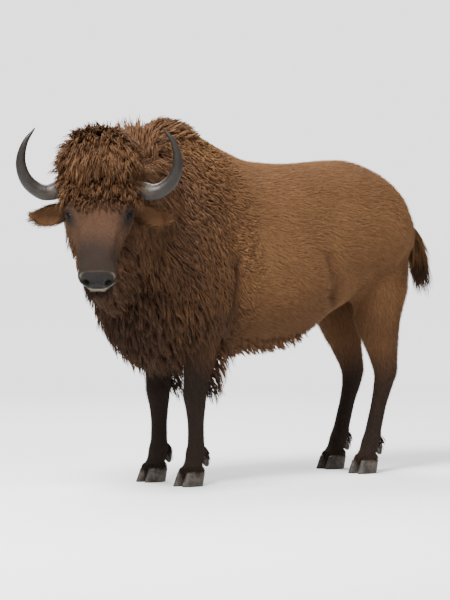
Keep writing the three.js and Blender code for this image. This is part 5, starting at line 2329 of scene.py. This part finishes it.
@dataclass(frozen=True)
class CoatFinish(Finish):
    """Tufts of hair: darker at the root, lighter at the worn tip."""

    name: str = "coat_hair"
    tip_light: float = 0.16
    root_dark: float = 0.096
    scatter: float = 0.1  # how much one tuft differs from the next

    def wires(self, g: Graph) -> dict[str, Input]:
        """The coat's colour, lifted towards the tips, and its shine."""
        tip = g.value("tip")
        lift = g.minus(g.times(tip, self.tip_light + self.root_dark), self.root_dark)
        lift = g.plus(lift, g.times(g.value("tone"), self.scatter))
        coat = CoatColour().place(g, Dark=g.value("dark"), Pale=g.value("pale"), Tone=lift)
        rough = g.ranged(tip, 0.0, 1.0, 0.85, 0.62)
        return {"Base Color": coat["Color"], "Roughness": rough, "Specular IOR Level": 0.09}


@dataclass(frozen=True)
class HideFinish(Finish):
    """The skin: short hair, with bare leather on the nose, lips and lids."""

    name: str = "hide"
    leather: Colour = (0.006, 0.0055, 0.005)
    leather_worn: Colour = (0.014, 0.012, 0.0105)

    def wires(self, g: Graph) -> dict[str, Input]:
        """Hair and leather, which meet in a ragged edge."""
        here = g.here()
        grain = HairGrain().place(g, Upright=g.value("upright"))["Height"]
        worn = g.times(g.minus(grain, 1.1), 0.3)
        coat = CoatColour().place(g, Dark=g.value("dark"), Pale=g.value("pale"), Tone=worn)
        cells = g.node("TexVoronoi", {"Vector": here, "Scale": 330.0}, feature="DISTANCE_TO_EDGE")
        pebble = g.ranged(cells["Distance"], 0.0, 0.22)
        leather = g.mixed(g.noise(here, 120.0), self.leather, self.leather_worn)
        ragged = g.times(g.minus(g.noise(here, 160.0), 0.5), 0.5)
        edge = g.ranged(g.plus(g.value("bare"), ragged), 0.35, 0.65)
        matt = g.ranged(grain, 0.6, 1.3, 0.88, 0.74)
        return {
            "Base Color": g.mixed(edge, coat["Color"], leather),
            "Roughness": g.between(edge, matt, g.ranged(pebble, 0.0, 1.0, 0.6, 0.4)),
            "Normal": g.bump(g.between(edge, grain, pebble), 0.55, 0.0022),
            "Specular IOR Level": 0.08,
        }


@dataclass(frozen=True)
class KeratinFinish(Finish):
    """Horn or hoof: near black, greyer and rougher where it is young or worn."""

    name: str
    dark: Colour
    worn: Colour
    gloss: tuple[float, float]  # the roughness of the polished and of the worn
    grain: float
    polished_by: str = ""  # the mesh value that rises towards the polished end

    def wires(self, g: Graph) -> dict[str, Input]:
        """The keratin, worn by its grain and, on the horns, young at the root."""
        keratin = KeratinGrain().place(g, Scale=self.grain)
        mask = keratin["Mask"]
        if self.polished_by:
            young = g.plus(g.ranged(g.value(self.polished_by), 0.5, 0.02), 0.12)
            mask = g.times(young, g.plus(mask, 0.35), clamp=True)
        return {
            "Base Color": g.mixed(mask, self.dark, self.worn),
            "Roughness": g.ranged(mask, 0.0, 1.0, *self.gloss),
            "Normal": g.bump(keratin["Height"], 0.4, 0.0012),
            "Specular IOR Level": 0.22,
        }


HORN_FINISH = KeratinFinish(
    "horn_black", (0.008, 0.0065, 0.0055), (0.05, 0.037, 0.026), (0.42, 0.74), 26.0, "growth"
)
HOOF_FINISH = KeratinFinish(
    "hoof_dull", (0.02, 0.017, 0.015), (0.075, 0.06, 0.048), (0.45, 0.75), 34.0
)


@dataclass(frozen=True)
class EyeFinish(Finish):
    """A wet brown eye with a long, level pupil."""

    name: str = "eye_wet"
    pupil: Colour = (0.002, 0.002, 0.003)
    iris: Colour = (0.011, 0.005, 0.0028)
    rim: Colour = (0.0035, 0.0025, 0.002)
    white: Colour = (0.012, 0.008, 0.006)
    pupil_half: tuple[float, float] = (0.46, 0.22)  # over the eye's radius
    square: float = 2.6  # how square the pupil is; 2 is an ellipse

    def wires(self, g: Graph) -> dict[str, Input]:
        """The eye from its middle outwards: pupil, iris, rim and white."""
        a, b = list(g.node("SeparateXYZ", {0: g.value("gaze", "Vector")}))[:2]
        radius = g.math("SQRT", g.plus(g.times(a, a), g.times(b, b)))
        flat = g.node("CombineXYZ", {0: g.over(a, radius), 1: g.over(b, radius), 2: radius})
        fibres = g.noise(g.stretched(flat[0], (9.0, 9.0, 2.0)), 2.0)
        reach = [
            g.math("POWER", g.math("ABSOLUTE", g.over(way, half)), self.square)
            for way, half in zip((a, b), self.pupil_half)
        ]
        colour, measure = self.pupil, g.plus(*reach)
        rings = ((g.mixed(fibres, self.rim, self.iris), 0.85, 1.15), (self.rim, 0.72, 0.8),
                 (self.white, 0.84, 0.95))  # fmt: skip
        for further, low, high in rings:
            colour, measure = g.mixed(g.ranged(measure, low, high), colour, further), radius
        return {"Base Color": colour, "Roughness": 0.1, "Specular IOR Level": 0.12, "IOR": 1.38}


@dataclass(frozen=True)
class FloorFinish(Finish):
    """Pale paint that glows with the air's colour far off, but only to the camera."""

    air: Colour
    glow: float
    name: str = "floor_paint"
    paint: tuple[Colour, Colour] = ((0.78, 0.78, 0.775), (0.82, 0.82, 0.815))
    fade: tuple[float, float] = (2.0, 13.0)  # where the glow starts and is full, in metres

    def wires(self, g: Graph) -> dict[str, Input]:
        """The mottled paint and its glow."""
        here = g.here()
        far = g.ranged(g.node("VectorMath", {0: here}, operation="LENGTH")["Value"], *self.fade)
        share = g.times(far, g.node("LightPath")["Is Camera Ray"])
        return {
            "Base Color": g.mixed(g.noise(here, 1.2), *self.paint),
            "Roughness": 0.9,
            "Specular IOR Level": 0.1,
            "Emission Color": g.mixed(share, (0.0, 0.0, 0.0), self.air),
            "Emission Strength": self.glow,
        }


# ------------------------------------------------------------------ the studio
@dataclass(frozen=True)
class Lamp:
    """A soft square lamp aimed at the animal."""

    name: str
    azimuth: float  # degrees, as the camera's
    elevation: float
    distance: float
    size: float
    power: float


def seen_from(azimuth: float, elevation: float) -> Vector:
    """The way from the animal to a viewer, from degrees round it and above it."""
    a, e = math.radians(azimuth), math.radians(elevation)
    return Vector((math.sin(a) * math.cos(e), -math.cos(a) * math.cos(e), math.sin(e)))


@dataclass(frozen=True)
class Studio:
    """The floor, the lamps and the camera."""

    azimuth: float = -42.0
    elevation: float = 1.5
    distance: float = 16.0
    lens: float = 192.0
    target: tuple[float, float, float] = (35.0, 63.0, 893.0)
    floor_half: float = 60.0
    air: Colour = (0.9, 0.905, 0.915)
    air_light: float = 0.62  # how strongly the air lights the animal
    air_seen: float = 2.5  # how bright it looks behind it
    far_glow: float = 1.95  # makes the far floor look as pale as the air
    lamps: tuple[Lamp, ...] = (
        Lamp("key", -66, 48, 7.0, 2.6, 1850),
        Lamp("fill", 20, 26, 8.0, 5.0, 200),
        Lamp("rim", 150, 48, 7.0, 4.0, 850),
    )

    def build(self) -> None:
        """Sets up the floor, the air, the lamps and the camera."""
        self._floor()
        self._air()
        for lamp in self.lamps:
            data = bpy.data.lights.new(lamp.name, "AREA")
            data.energy, data.size = lamp.power, lamp.size
            self._placed(data, seen_from(lamp.azimuth, lamp.elevation), lamp.distance)
        camera = bpy.data.cameras.new("camera")
        camera.lens, camera.sensor_width, camera.clip_end = self.lens, 36.0, 200.0
        back = seen_from(self.azimuth, self.elevation)
        bpy.context.scene.camera = self._placed(camera, back, self.distance)

    def _placed(self, data: bpy.types.ID, back: Vector, distance: float) -> Object:
        """A camera or lamp that looks at the animal's middle.

        Args:
            data: the camera or the lamp.
            back: the way from the animal to it.
            distance: how far away it is, in metres.

        Returns:
            The object.
        """
        made = bpy.data.objects.new(data.name, data)
        made.location = Vector(PLACE.out(np.array(self.target))) + back * distance
        made.rotation_euler = back.to_track_quat("Z", "Y").to_euler()
        bpy.context.scene.collection.objects.link(made)
        return made

    def _floor(self) -> None:
        """Lays the plain pale floor."""
        h = self.floor_half
        data = bpy.data.meshes.new("floor")
        data.from_pydata([(-h, -h, 0.0), (h, -h, 0.0), (h, h, 0.0), (-h, h, 0.0)], [], [range(4)])
        data.materials.append(FloorFinish(self.air, self.far_glow).build())
        floor = bpy.data.objects.new("floor", data)
        bpy.context.scene.collection.objects.link(floor)

    def _air(self) -> None:
        """Fills the air with even light, brighter to the camera."""
        world = bpy.data.worlds.new("air")
        world.use_nodes = True
        g = Graph(world.node_tree)
        seen = g.node("LightPath")["Is Camera Ray"]
        strength = g.ranged(seen, 0.0, 1.0, self.air_light, self.air_seen)
        for key, value in (("Color", self.air), ("Strength", strength)):
            g.feed(g.tree.nodes["Background"], key, value)
        bpy.context.scene.world = world


def main() -> None:
    """Builds the studio and the animal, from the skin out."""
    logging.basicConfig(level=logging.INFO, format="%(name)s: %(message)s")
    logging.getLogger("glTFImporter").setLevel(logging.WARNING)
    Studio().build()
    flesh = Flesh()
    skin = Skin(flesh)
    skin.build()
    skin.dress(HideFinish().build())
    coat = CoatFinish().build()
    ShortCoat(flesh, skin).dress(coat)
    LongHair(flesh).dress(coat)
    eye, horn = EyeFinish().build(), HORN_FINISH.build()
    for side in SIDES:
        Horn(side).build(horn)
        Eye(side).build(eye)
    Hooves().build(HOOF_FINISH.build())


if __name__ == "__main__":
    main()
